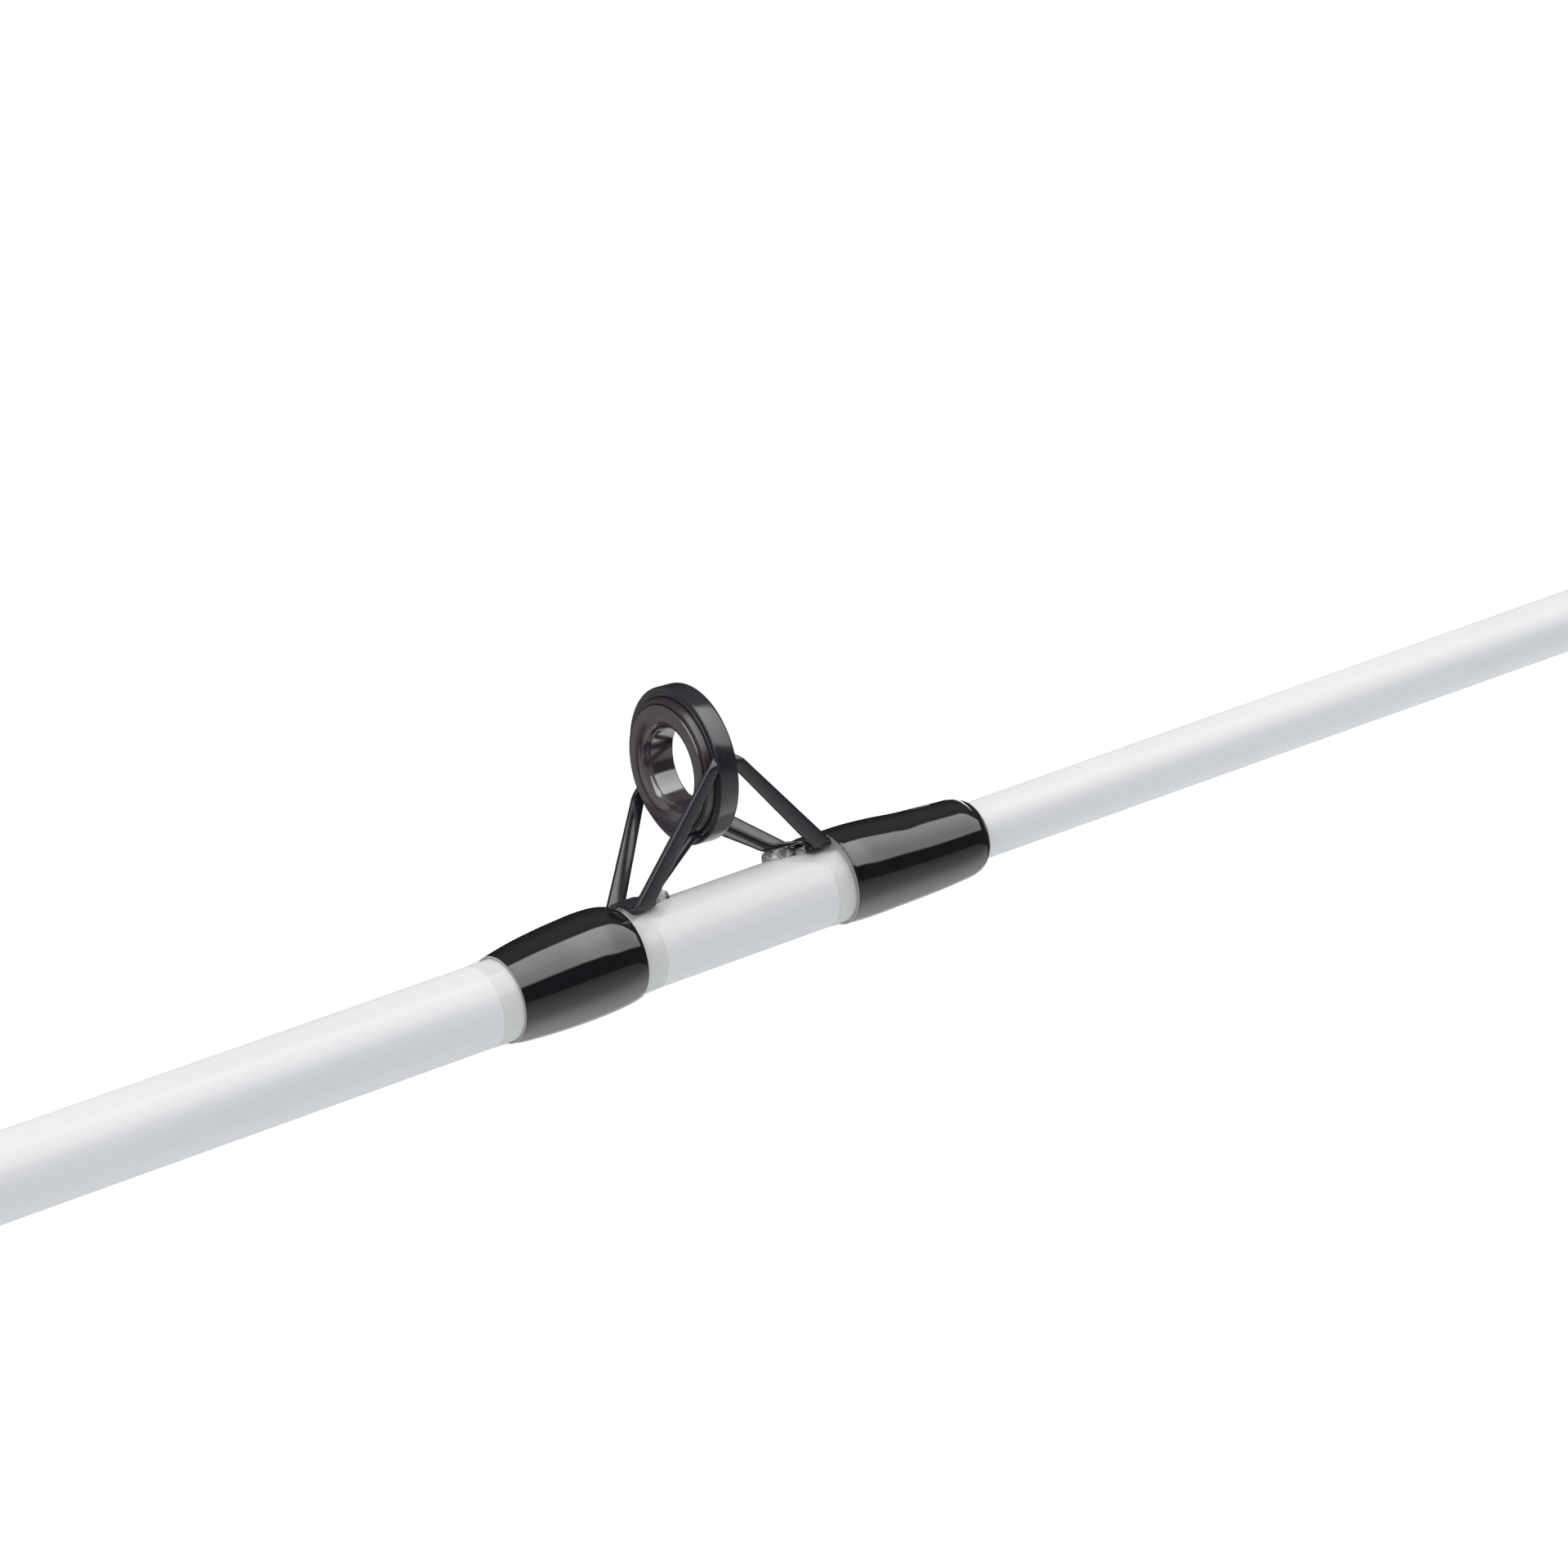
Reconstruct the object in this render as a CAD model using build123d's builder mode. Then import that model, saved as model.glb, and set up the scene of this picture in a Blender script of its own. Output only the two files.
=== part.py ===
"""Two-piece boat rod with six ringed guides, a tip ring, a reel seat and a put-in ferrule.

Millimetres.  The rod lies along +X from its butt end at the origin to its tip, and the
guides stand up along +Z.
"""

from build123d import *
import math
import os

os.makedirs("parts", exist_ok=True)

# ------------------------------------------------------------------ fits
RUNNING_GAP = 0.05  # radial gap of a piece that slides or turns on another
FACE_GAP = 0.3  # gap between end faces that meet at rest and part in use
CUT_OVER = 1.0  # how far a cutting solid runs past the face that it cuts

# ------------------------------------------------------------------ blanks
BUTT_END_OD = 15.8  # butt blank at the butt end of the rod
BUTT_TAPER = 0.0063  # diameter lost per millimetre of butt section
BUTT_WALL = 2.2
BUTT_LENGTH = 950.1  # butt end of the rod to the ferrule mouth
FERRULE_OD = 7.25  # tip blank inside the ferrule and just ahead of it
FERRULE_DEPTH = 60.0
FERRULE_LIP = 0.5  # wrap that closes over the end of the butt blank
TIP_PARALLEL = 90.0  # nearly straight stretch of tip blank ahead of the ferrule
TIP_PARALLEL_OD = 7.15
TIP_END_OD = 2.6
TIP_LENGTH = 884.0  # ferrule mouth to the end of the tip blank

# ------------------------------------------------------------------ butt cap and gimbal nock
CAP_OD = 30.0
CAP_LENGTH = 34.0
CAP_FLOOR = 4.0
CAP_EDGE = 2.5
NOCK_OD = 24.0
NOCK_FLOOR = 12.0  # solid end that carries the cross slots
NOCK_SLOT_WIDTH = 6.0
NOCK_SLOT_DEPTH = 8.0
NOCK_EDGE = 1.0

# ------------------------------------------------------------------ grips and trim rings
REAR_GRIP_OD = 30.0
REAR_GRIP_LENGTH = 250.0
REAR_GRIP_SHOULDER = 40.0  # tapered stretch in front of the straight hand hold
REAR_GRIP_FRONT_OD = 27.0
SEAT_RING_LENGTH = 5.0
FOREGRIP_LENGTH = 140.0
FOREGRIP_REAR_OD = 27.0
FOREGRIP_SWELL_OD = 29.0
FOREGRIP_FRONT_OD = 20.0
FOREGRIP_SWELL_STEP = 42.0  # from the rear end to the fullest place
FOREGRIP_WAIST_STEP = 84.0  # from the rear end to the start of the front taper
FOREGRIP_WAIST_OD = 27.0
CHECK_LENGTH = 6.0
CHECK_REAR_OD = 18.0
CHECK_FRONT_OD = 15.5
TRIM_WRAP_LENGTH = 40.0
TRIM_WRAP_BUILD = 0.6
TRIM_WRAP_EDGE = 2.4  # tapered front end of the wrap

# ------------------------------------------------------------------ reel seat
BARREL_OD = 24.6
BARREL_ID = 18.0
BARREL_LENGTH = 130.0
BED_HEIGHT = 11.0  # foot bed above the rod's axis
BED_LENGTH = 76.0
KEYWAY_WIDTH = 3.0
KEYWAY_DEPTH = 1.2
KEY_GAP = 0.15
ARBOR_LENGTH = 26.0
ARBOR_COUNT = 3
HOOD_LENGTH = 26.0
HOOD_WALL = 1.9
HOOD_ARCH_WIDTH = 19.0
HOOD_ARCH_HEIGHT = 18.6
HOOD_ARCH_CORNER = 6.0
HOOD_SLOPE = 14.3  # length of the slope behind the arch
POCKET_WIDTH = 15.2
POCKET_HEIGHT = 16.6
POCKET_DEPTH = 17.0
FOOT_SPAN = 34.0  # between the mouths of the two hoods at rest
NUT_LENGTH = 12.0
NUT_WIDTH = 31.0
NUT_SIDES = 12
LOCK_NUT_LENGTH = 8.0
LOCK_NUT_WIDTH = 29.0
NUT_EDGE = 1.0

# ------------------------------------------------------------------ guides
# The sizes below are those of a size 16 ring; the other guides share its proportions.
RING_16 = 16.0  # outside diameter of the ceramic ring
RING_BORE = 9.6
RING_LENGTH = 4.3
RING_LIP = 0.35  # eased edge of the bore
RING_CROWN = 1.1  # how far the butt-side face falls back towards its rim
RING_CROWN_MID = 0.28  # fall of that face at the middle of its width
RING_PROUD = 0.55  # how far the ring stands further out on the butt side
SHOCK_WALL = 0.6
SHOCK_LENGTH = 3.2
COLLAR_WALL = 1.2
COLLAR_LENGTH = 2.8
COLLAR_EDGE = 0.35
COLLAR_LIP_LENGTH = 0.4  # pressed lip on the collar's butt side
COLLAR_LIP_WALL = 0.6
COLLAR_LIFT = 4.5  # collar above the blank
RING_LEAN = 4.0  # degrees, top towards the tip
LEG_TOP_WIDTH = 2.3
LEG_ROOT_WIDTH = 2.8
LEG_THICKNESS = 0.9
LEG_TOP_DROP = 1.6  # below the ring's centre
LEG_TOP_INSET = 0.4  # from the outside of the collar
SADDLE_LIFT = 0.3  # underside of the saddle above the blank
SADDLE_THICKNESS = 0.9
SADDLE_ANGLE = 42.0  # degrees each side of the top, where the legs stand
SADDLE_LENGTH = 2.8
STRUT_WIDTH = 1.8
STRUT_THICKNESS = 0.9
NOSE_LIFT = 1.0  # underside of the foot's inner end above the blank
FOOT_WIDTH = 3.4
FOOT_THICKNESS = 0.9
FOOT_TOE = 0.3
FOOT_RAMP = 1.8  # half length of the step down from the raised end to the blank
# stations from the ring's centre, for the rear foot (-1) and the front foot (+1)
LEG_TOP_STEP = {-1: 1.9, 1: 1.3}
SADDLE_STEP = {-1: 14.2, 1: 11.4}
STRUT_BEND_STEP = {-1: 3.1, 1: 1.7}  # where a strut turns down out of the collar's bottom
NOSE_STEP = {-1: 8.6, 1: 6.4}
HEEL_STEP = {-1: 12.4, 1: 9.4}  # where the foot comes down on the blank
FOOT_STEP = {-1: 32.0, 1: 29.8}
WRAP_NEAR = {-1: 17.3, 1: 14.0}  # inner end of a wrap
WRAP_FAR = {-1: 35.5, 1: 34.1}
WRAP_NEAR_BUILD = {-1: 0.45, 1: 0.85}  # thread and resin at the inner end of a wrap
WRAP_BUILD = {-1: 1.4, 1: 1.1}  # where its near shoulder ends
WRAP_OUTER_BUILD = {-1: 1.15, 1: 0.85}  # where its far shoulder starts
WRAP_FAR_BUILD = {-1: 0.45, 1: 0.45}
WRAP_SHOULDER = {-1: 4.0, 1: 4.4}
WRAP_RISE = {-1: 0.3, 1: 0.25}  # the wrap's axis above the blank's, because the foot lies on top
COAT_LENGTH = 3.0
COAT_BUILD = 0.3
COAT_EDGE = 0.08

BUTT_GUIDES = {"guide_20": (716.0, 20.0), "guide_16": (BUTT_LENGTH - WRAP_FAR[1], RING_16)}
TIP_GUIDES = {  # share of the tip's length from the ferrule mouth, and ring size
    "guide_12": (0.193, 12.0),
    "guide_11": (0.414, 11.0),
    "guide_10": (0.629, 10.0),
    "guide_10_front": (0.832, 10.0),
}

# ------------------------------------------------------------------ tip ring
TIP_TUBE_LENGTH = 16.0
TIP_TUBE_WALL = 0.5
TIP_TUBE_OVERLAP = 14.0  # blank inside the tube
TIP_RING_SIZE = 10.0
TIP_RING_LEAN = 5.0
TIP_BRACE_WIDTH = 1.6
TIP_BRACE_ROOT = 0.3  # depth of a brace's root in the wall of the tube
TIP_WRAP_LENGTH = 10.0
TIP_WRAP_BUILD = 0.5
TIP_WRAP_EDGE = 1.5

# ------------------------------------------------------------------ stations along the rod
NOCK_START = CAP_FLOOR + FACE_GAP
BLANK_START = NOCK_START + NOCK_FLOOR
REAR_GRIP_START = CAP_LENGTH + FACE_GAP
SEAT_RING_START = REAR_GRIP_START + REAR_GRIP_LENGTH
BARREL_START = SEAT_RING_START + SEAT_RING_LENGTH
BARREL_END = BARREL_START + BARREL_LENGTH
FIXED_HOOD_MOUTH = BARREL_START + HOOD_LENGTH
SLIDING_HOOD_MOUTH = FIXED_HOOD_MOUTH + FOOT_SPAN
NUT_START = SLIDING_HOOD_MOUTH + HOOD_LENGTH + FACE_GAP
LOCK_NUT_START = NUT_START + NUT_LENGTH + FACE_GAP
FOREGRIP_START = BARREL_END
CHECK_START = FOREGRIP_START + FOREGRIP_LENGTH
TRIM_WRAP_START = CHECK_START + CHECK_LENGTH
BUTT_BLANK_END = BUTT_LENGTH - FERRULE_LIP
SPIGOT_START = BUTT_LENGTH - FERRULE_DEPTH
TIP_BLANK_END = BUTT_LENGTH + TIP_LENGTH
TIP_TUBE_START = TIP_BLANK_END - TIP_TUBE_OVERLAP
FERRULE_BORE = FERRULE_OD / 2 + RUNNING_GAP


def butt_radius(x):
    """Radius of the butt blank at a station along the rod."""
    return (BUTT_END_OD - BUTT_TAPER * x) / 2


def tip_stations():
    """Stations and radii where the taper of the tip blank changes."""
    return [
        (SPIGOT_START, FERRULE_OD / 2),
        (BUTT_LENGTH, FERRULE_OD / 2),
        (BUTT_LENGTH + TIP_PARALLEL, TIP_PARALLEL_OD / 2),
        (TIP_BLANK_END, TIP_END_OD / 2),
    ]


def tip_radius(x):
    """Radius of the tip blank at a station along the rod."""
    stations = tip_stations()
    for (x0, r0), (x1, r1) in zip(stations, stations[1:]):
        if x <= x1:
            return r0 + (r1 - r0) * (x - x0) / (x1 - x0)
    return stations[-1][1]


def blank_surface(radius, start, end):
    """Outline points of the blank between two stations, for any piece that sits on it."""
    corners = [x for x, _ in tip_stations()] if radius is tip_radius else []
    stations = [start] + [x for x in corners if start < x < end] + [end]
    return [(x, radius(x)) for x in stations]


def blank_core(radius, start, end):
    """The blank itself between two stations, to cut from the pieces that sit on it."""
    with BuildPart() as core:
        with BuildSketch(Plane.XZ):
            with BuildLine():
                Polyline((start, 0), *blank_surface(radius, start, end), (end, 0), close=True)
            make_face()
        revolve(axis=Axis.X)
    return core.part


def turned(label, outline, radius):
    """A piece turned about the rod's axis, bored to sit on the blank."""
    start = min(x for x, _ in outline)
    end = max(x for x, _ in outline)
    with BuildPart() as piece:
        with BuildSketch(Plane.XZ):
            with BuildLine():
                Polyline(*outline, *reversed(blank_surface(radius, start, end)), close=True)
            make_face()
        revolve(axis=Axis.X)
    piece.part.label = label
    return piece.part


# ------------------------------------------------------------------ butt end
def butt_blank():
    with BuildPart() as blank:
        with BuildSketch(Plane.XZ):
            with BuildLine():
                Polyline(
                    (BLANK_START, butt_radius(BLANK_START)),
                    (BUTT_BLANK_END, butt_radius(BUTT_BLANK_END)),
                    (BUTT_BLANK_END, FERRULE_BORE),
                    (SPIGOT_START - FACE_GAP, FERRULE_BORE),
                    (BLANK_START, butt_radius(BLANK_START) - BUTT_WALL),
                    close=True,
                )
            make_face()
        revolve(axis=Axis.X)
    blank.part.label = "butt_blank"
    return blank.part


def gimbal_nock():
    length = REAR_GRIP_START - NOCK_START
    with BuildPart() as nock:
        with BuildSketch(Plane.YZ.offset(NOCK_START)):
            Circle(NOCK_OD / 2)
        extrude(amount=length)
        chamfer(nock.edges().group_by(Axis.X)[0], NOCK_EDGE)
        with BuildSketch(Plane.YZ.offset(NOCK_START)):
            Rectangle(NOCK_SLOT_WIDTH, NOCK_OD)
            Rectangle(NOCK_OD, NOCK_SLOT_WIDTH)
        extrude(amount=NOCK_SLOT_DEPTH, mode=Mode.SUBTRACT)
        add(blank_core(butt_radius, BLANK_START, REAR_GRIP_START), mode=Mode.SUBTRACT)
    nock.part.label = "gimbal_nock"
    return nock.part


def butt_cap():
    with BuildPart() as cap:
        with BuildSketch(Plane.YZ):
            Circle(CAP_OD / 2)
        extrude(amount=CAP_LENGTH)
        fillet(cap.edges().group_by(Axis.X)[0], CAP_EDGE)
        with BuildSketch(Plane.YZ.offset(CAP_FLOOR)):
            Circle(NOCK_OD / 2 + RUNNING_GAP)
        extrude(amount=CAP_LENGTH, mode=Mode.SUBTRACT)
    cap.part.label = "butt_cap"
    return cap.part


def rear_grip():
    shoulder = SEAT_RING_START - REAR_GRIP_SHOULDER
    outline = [
        (REAR_GRIP_START, REAR_GRIP_OD / 2),
        (shoulder, REAR_GRIP_OD / 2),
        (SEAT_RING_START, REAR_GRIP_FRONT_OD / 2),
    ]
    return turned("rear_grip", outline, butt_radius)


def seat_ring():
    radius = REAR_GRIP_FRONT_OD / 2
    outline = [(SEAT_RING_START, radius), (BARREL_START, radius)]
    return turned("seat_ring", outline, butt_radius)


def foregrip():
    outline = [
        (FOREGRIP_START, FOREGRIP_REAR_OD / 2),
        (FOREGRIP_START + FOREGRIP_SWELL_STEP, FOREGRIP_SWELL_OD / 2),
        (FOREGRIP_START + FOREGRIP_WAIST_STEP, FOREGRIP_WAIST_OD / 2),
        (CHECK_START, FOREGRIP_FRONT_OD / 2),
    ]
    return turned("foregrip", outline, butt_radius)


def winding_check():
    outline = [
        (CHECK_START, CHECK_REAR_OD / 2),
        (CHECK_START + CHECK_LENGTH / 2, CHECK_REAR_OD / 2),
        (TRIM_WRAP_START, CHECK_FRONT_OD / 2),
    ]
    return turned("winding_check", outline, butt_radius)


def trim_wrap():
    end = TRIM_WRAP_START + TRIM_WRAP_LENGTH
    outline = [
        (TRIM_WRAP_START, butt_radius(TRIM_WRAP_START) + TRIM_WRAP_BUILD),
        (end - TRIM_WRAP_EDGE, butt_radius(end) + TRIM_WRAP_BUILD),
        (end, butt_radius(end) + COAT_EDGE),
    ]
    return turned("trim_wrap", outline, butt_radius)


# ------------------------------------------------------------------ reel seat
def seat_barrel():
    with BuildPart() as barrel:
        with BuildSketch(Plane.YZ.offset(BARREL_START)):
            Circle(BARREL_OD / 2)
            Circle(BARREL_ID / 2, mode=Mode.SUBTRACT)
        extrude(amount=BARREL_LENGTH)
        # flat bed that the reel's foot rests on, from inside the fixed hood forwards
        bed_middle = FIXED_HOOD_MOUTH - POCKET_DEPTH + BED_LENGTH / 2
        with BuildSketch(Plane.XY.offset(BED_HEIGHT)):
            with Locations((bed_middle, 0)):
                Rectangle(BED_LENGTH, BARREL_OD)
        extrude(amount=BARREL_OD, mode=Mode.SUBTRACT)
        # keyway that stops the sliding hood from turning
        with BuildSketch(Plane.YZ.offset(FIXED_HOOD_MOUTH)):
            with Locations((0, -BARREL_OD / 2)):
                Rectangle(KEYWAY_WIDTH, KEYWAY_DEPTH * 2)
        extrude(amount=BARREL_LENGTH, mode=Mode.SUBTRACT)
    barrel.part.label = "seat_barrel"
    return barrel.part


def seat_arbors():
    """Bushings that fill the space between the blank and the seat barrel."""
    pitch = (BARREL_LENGTH - ARBOR_LENGTH) / (ARBOR_COUNT - 1)
    bushes = []
    for i in range(ARBOR_COUNT):
        start = BARREL_START + i * pitch
        outline = [(start, BARREL_ID / 2), (start + ARBOR_LENGTH, BARREL_ID / 2)]
        bushes.append(turned(f"arbor_{i}", outline, butt_radius))
    return Compound(label="seat_arbors", children=bushes)


def hood(label, mouth, facing, gap):
    """Hood whose pocket takes one end of the reel's foot.

    mouth is the station of its open end, facing is +1 where it opens towards the tip,
    and gap is the radial gap to the barrel.
    """
    back = mouth - facing * HOOD_LENGTH
    inner = BARREL_OD / 2 + gap
    with BuildPart() as body:
        with BuildSketch(Plane.YZ.offset(min(mouth, back))):
            Circle(inner + HOOD_WALL)
            with Locations((0, HOOD_ARCH_HEIGHT / 2)):
                RectangleRounded(HOOD_ARCH_WIDTH, HOOD_ARCH_HEIGHT, HOOD_ARCH_CORNER)
        extrude(amount=HOOD_LENGTH)
        # the back of the arch slopes down to the barrel
        with BuildSketch(Plane.XZ):
            with BuildLine():
                Polyline(
                    (back, inner + HOOD_WALL),
                    (back + facing * HOOD_SLOPE, HOOD_ARCH_HEIGHT),
                    (back + facing * HOOD_SLOPE, HOOD_ARCH_HEIGHT + CUT_OVER),
                    (back - facing * CUT_OVER, HOOD_ARCH_HEIGHT + CUT_OVER),
                    (back - facing * CUT_OVER, inner + HOOD_WALL),
                    close=True,
                )
            make_face()
        extrude(amount=BARREL_OD, both=True, mode=Mode.SUBTRACT)
        with BuildSketch(Plane.YZ.offset(min(mouth, back))):
            Circle(inner)
        extrude(amount=HOOD_LENGTH, mode=Mode.SUBTRACT)
        with BuildSketch(Plane.YZ.offset(mouth)):
            with Locations((0, POCKET_HEIGHT / 2)):
                RectangleRounded(POCKET_WIDTH, POCKET_HEIGHT, HOOD_ARCH_CORNER - HOOD_WALL)
        extrude(amount=-facing * POCKET_DEPTH, mode=Mode.SUBTRACT)
        if gap > 0:
            # key that runs in the barrel's keyway
            key_width = KEYWAY_WIDTH - 2 * KEY_GAP
            key_depth = KEYWAY_DEPTH - KEY_GAP
            with BuildSketch(Plane.YZ.offset(min(mouth, back))):
                with Locations((0, -BARREL_OD / 2 + key_depth / 2 - HOOD_WALL / 4)):
                    Rectangle(key_width, key_depth + HOOD_WALL / 2)
            extrude(amount=HOOD_LENGTH)
    body.part.label = label
    return body.part


def ring_nut(label, start, length, width):
    """Grip nut on the barrel, with flats for the fingers and eased edges."""
    with BuildPart() as nut:
        with BuildSketch(Plane.YZ.offset(start)):
            RegularPolygon(width / 2, NUT_SIDES)
        extrude(amount=length)
        chamfer(nut.edges().group_by(Axis.X)[0] + nut.edges().group_by(Axis.X)[-1], NUT_EDGE)
        with BuildSketch(Plane.YZ.offset(start)):
            Circle(BARREL_OD / 2 + RUNNING_GAP)
        extrude(amount=length, mode=Mode.SUBTRACT)
    nut.part.label = label
    return nut.part


# ------------------------------------------------------------------ guides
class Guide:
    """Sizes and planes of one guide, from its ring size and its station on the rod."""

    def __init__(self, station, size, radius, lean=RING_LEAN):
        self.station = station
        self.size = size
        self.k = size / RING_16
        self.radius = radius
        self.surface = radius(station)
        self.shock_radius = size / 2 + SHOCK_WALL * self.k
        self.collar_radius = self.shock_radius + COLLAR_WALL * self.k
        self.height = self.surface + COLLAR_LIFT * self.k + self.collar_radius
        tilt = math.radians(lean)
        # along the ring's axis towards the tip, leaning down by the ring's lean
        self.ring_axis = Vector(math.cos(tilt), 0, -math.sin(tilt))
        self.centre = Vector(station, 0, self.height)
        self.ring_plane = Plane(origin=self.centre, x_dir=self.ring_axis, z_dir=(0, -1, 0))

    def turn(self, label, outline):
        """A piece turned about the ring's own axis, from points along and off that axis."""
        with BuildPart() as piece:
            with BuildSketch(self.ring_plane):
                with BuildLine():
                    Polyline(*outline, close=True)
                make_face()
            revolve(axis=Axis(self.centre, self.ring_axis))
        piece.part.label = label
        return piece.part


def ceramic_ring(label, g):
    """Polished ring that the line runs through, a little prouder on the butt side."""
    k = g.k
    back = (RING_LENGTH / 2 - RING_PROUD) * k
    front = -(RING_LENGTH / 2 + RING_PROUD) * k
    bore = RING_BORE / 2 * k
    lip = RING_LIP * k
    crown = RING_CROWN * k
    return g.turn(label, [
        (front + lip, bore),
        (front, bore + lip),
        (front + RING_CROWN_MID * k, (bore + g.size / 2) / 2 + lip),
        (front + crown, g.size / 2),
        (back - lip, g.size / 2),
        (back, g.size / 2 - lip),
        (back, bore + lip),
        (back - lip, bore),
    ])


def shock_ring(label, g):
    """Thin cushion ring between the ceramic ring and the frame's collar."""
    half = SHOCK_LENGTH / 2 * g.k
    return g.turn(label, [
        (-half, g.size / 2), (half, g.size / 2), (half, g.shock_radius), (-half, g.shock_radius),
    ])


def collar(g):
    """Flat band round the shock ring, with a smaller lip standing out on the butt side."""
    half = COLLAR_LENGTH / 2 * g.k
    edge = COLLAR_EDGE * g.k
    lip_radius = g.shock_radius + COLLAR_LIP_WALL * g.k
    lip_end = -half - COLLAR_LIP_LENGTH * g.k
    return g.turn("collar", [
        (lip_end, g.shock_radius),
        (half, g.shock_radius),
        (half, g.collar_radius),
        (edge - half, g.collar_radius),
        (-half, g.collar_radius - edge),
        (-half, lip_radius),
        (lip_end, lip_radius),
    ])


def guide_frame(label, g):
    """Pressed frame: a collar carried by four splayed legs and two struts, on two feet.

    Each foot has a saddle that arches over the blank.  A leg stands at each end of the
    saddle, in a plane that leans outwards to the side of the collar; a strut runs from
    the foot's inner end to the bottom of the collar, and a tongue runs out under the wrap.
    """
    k = g.k
    arch = g.surface + (SADDLE_LIFT + SADDLE_THICKNESS / 2) * k
    angle = math.radians(SADDLE_ANGLE)
    with BuildPart() as frame:
        add(collar(g))
        for side in (-1, 1):
            root = Vector(g.station, side * arch * math.sin(angle), arch * math.cos(angle))
            top_side = side * (g.collar_radius - LEG_TOP_INSET * k)
            top = Vector(g.station, top_side, g.height - LEG_TOP_DROP * k)
            up = top - root
            leaf = Plane(origin=root, x_dir=(1, 0, 0), z_dir=Vector(1, 0, 0).cross(up))
            with BuildSketch(leaf):
                for end in (-1, 1):
                    foot, head = end * SADDLE_STEP[end] * k, end * LEG_TOP_STEP[end] * k
                    foot_half, head_half = LEG_ROOT_WIDTH / 2 * k, LEG_TOP_WIDTH / 2 * k
                    with BuildLine():
                        Polyline(
                            (foot - foot_half, 0),
                            (foot + foot_half, 0),
                            (head + head_half, up.length),
                            (head - head_half, up.length),
                            close=True,
                        )
                    make_face()
            extrude(amount=LEG_THICKNESS * k / 2, both=True)
        for end in (-1, 1):
            saddle_start = g.station + end * SADDLE_STEP[end] * k - SADDLE_LENGTH / 2 * k
            with BuildSketch(Plane.YZ.offset(saddle_start)):
                with BuildLine(mode=Mode.PRIVATE) as line:
                    CenterArc((0, 0), arch, 90 - SADDLE_ANGLE, 2 * SADDLE_ANGLE)
                SlotArc(line.edge(), SADDLE_THICKNESS * k)
            extrude(amount=SADDLE_LENGTH * k)
            with BuildSketch(Plane.XZ):
                with BuildLine():
                    Polyline(*foot_outline(g, end), close=True)
                make_face()
            extrude(amount=FOOT_WIDTH / 2 * k, both=True)
            with BuildSketch(Plane.XZ):
                with BuildLine():
                    Polyline(*strut_outline(g, end), close=True)
                make_face()
            extrude(amount=STRUT_WIDTH / 2 * k, both=True)
        reach = max(FOOT_STEP.values()) * k + CUT_OVER
        add(blank_core(g.radius, g.station - reach, g.station + reach), mode=Mode.SUBTRACT)
    frame.part.label = label
    return frame.part


def foot_outline(g, end):
    """Side view of a foot, from its raised inner end out to its thin toe on the blank."""
    k = g.k
    nose = g.station + end * NOSE_STEP[end] * k
    heel = g.station + end * HEEL_STEP[end] * k
    toe = g.station + end * FOOT_STEP[end] * k
    underside = g.surface + NOSE_LIFT * k
    thick = FOOT_THICKNESS * k
    ramp = FOOT_RAMP * k
    return [
        (nose, underside),
        (nose, underside + thick),
        (heel - end * ramp, underside + thick),
        (heel + end * ramp, g.surface + thick),
        (toe, g.radius(toe) + FOOT_TOE * k),
        (toe, 0),
        (heel, 0),
        (heel, g.surface),
        (heel - end * ramp, underside),
    ]


def strut_outline(g, end):
    """Side view of a strut: out of the collar's bottom, then down to the foot's inner end."""
    k = g.k
    thick = STRUT_THICKNESS * k
    nose = g.station + end * NOSE_STEP[end] * k
    bend = g.station + end * STRUT_BEND_STEP[end] * k
    low = g.surface + NOSE_LIFT * k
    high = g.height - g.collar_radius
    return [
        (nose, low),
        (nose, low + thick),
        (bend, high + thick),
        (g.station, high + thick),
        (g.station, high),
        (bend, high),
    ]


def thread_wrap(label, g, frame, end, lip=0.0):
    """Barrel-shaped thread wrap over one foot; end is +1 for the foot towards the tip.

    lip is the length by which the wrap closes over the end of the butt blank.
    """
    inner = g.station + end * WRAP_NEAR[end] * g.k
    outer = g.station + end * WRAP_FAR[end] * g.k
    near = inner + end * WRAP_SHOULDER[end] * g.k
    far = outer - end * WRAP_SHOULDER[end] * g.k
    rise = WRAP_RISE[end] * g.k
    with BuildPart() as wrap:
        with BuildSketch(Plane.XZ):
            with BuildLine():
                Polyline(
                    (inner, rise),
                    (inner, rise + g.radius(inner) + WRAP_NEAR_BUILD[end] * g.k),
                    (near, rise + g.radius(near) + WRAP_BUILD[end] * g.k),
                    (far, rise + g.radius(far) + WRAP_OUTER_BUILD[end] * g.k),
                    (outer, rise + g.radius(outer) + WRAP_FAR_BUILD[end] * g.k),
                    (outer, rise),
                    close=True,
                )
            make_face()
        revolve(axis=Axis((g.station, 0, rise), (1, 0, 0)))
        add(blank_core(g.radius, min(inner, outer - lip), max(inner, outer - lip)), mode=Mode.SUBTRACT)
        if lip:
            with BuildSketch(Plane.YZ.offset(outer - lip)):
                Circle(FERRULE_BORE)
            extrude(amount=lip, mode=Mode.SUBTRACT)
        add(frame, mode=Mode.SUBTRACT)
    solids = sorted(wrap.part.solids(), key=lambda s: s.volume)
    piece = solids[-1]
    piece.label = label
    return piece


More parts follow.
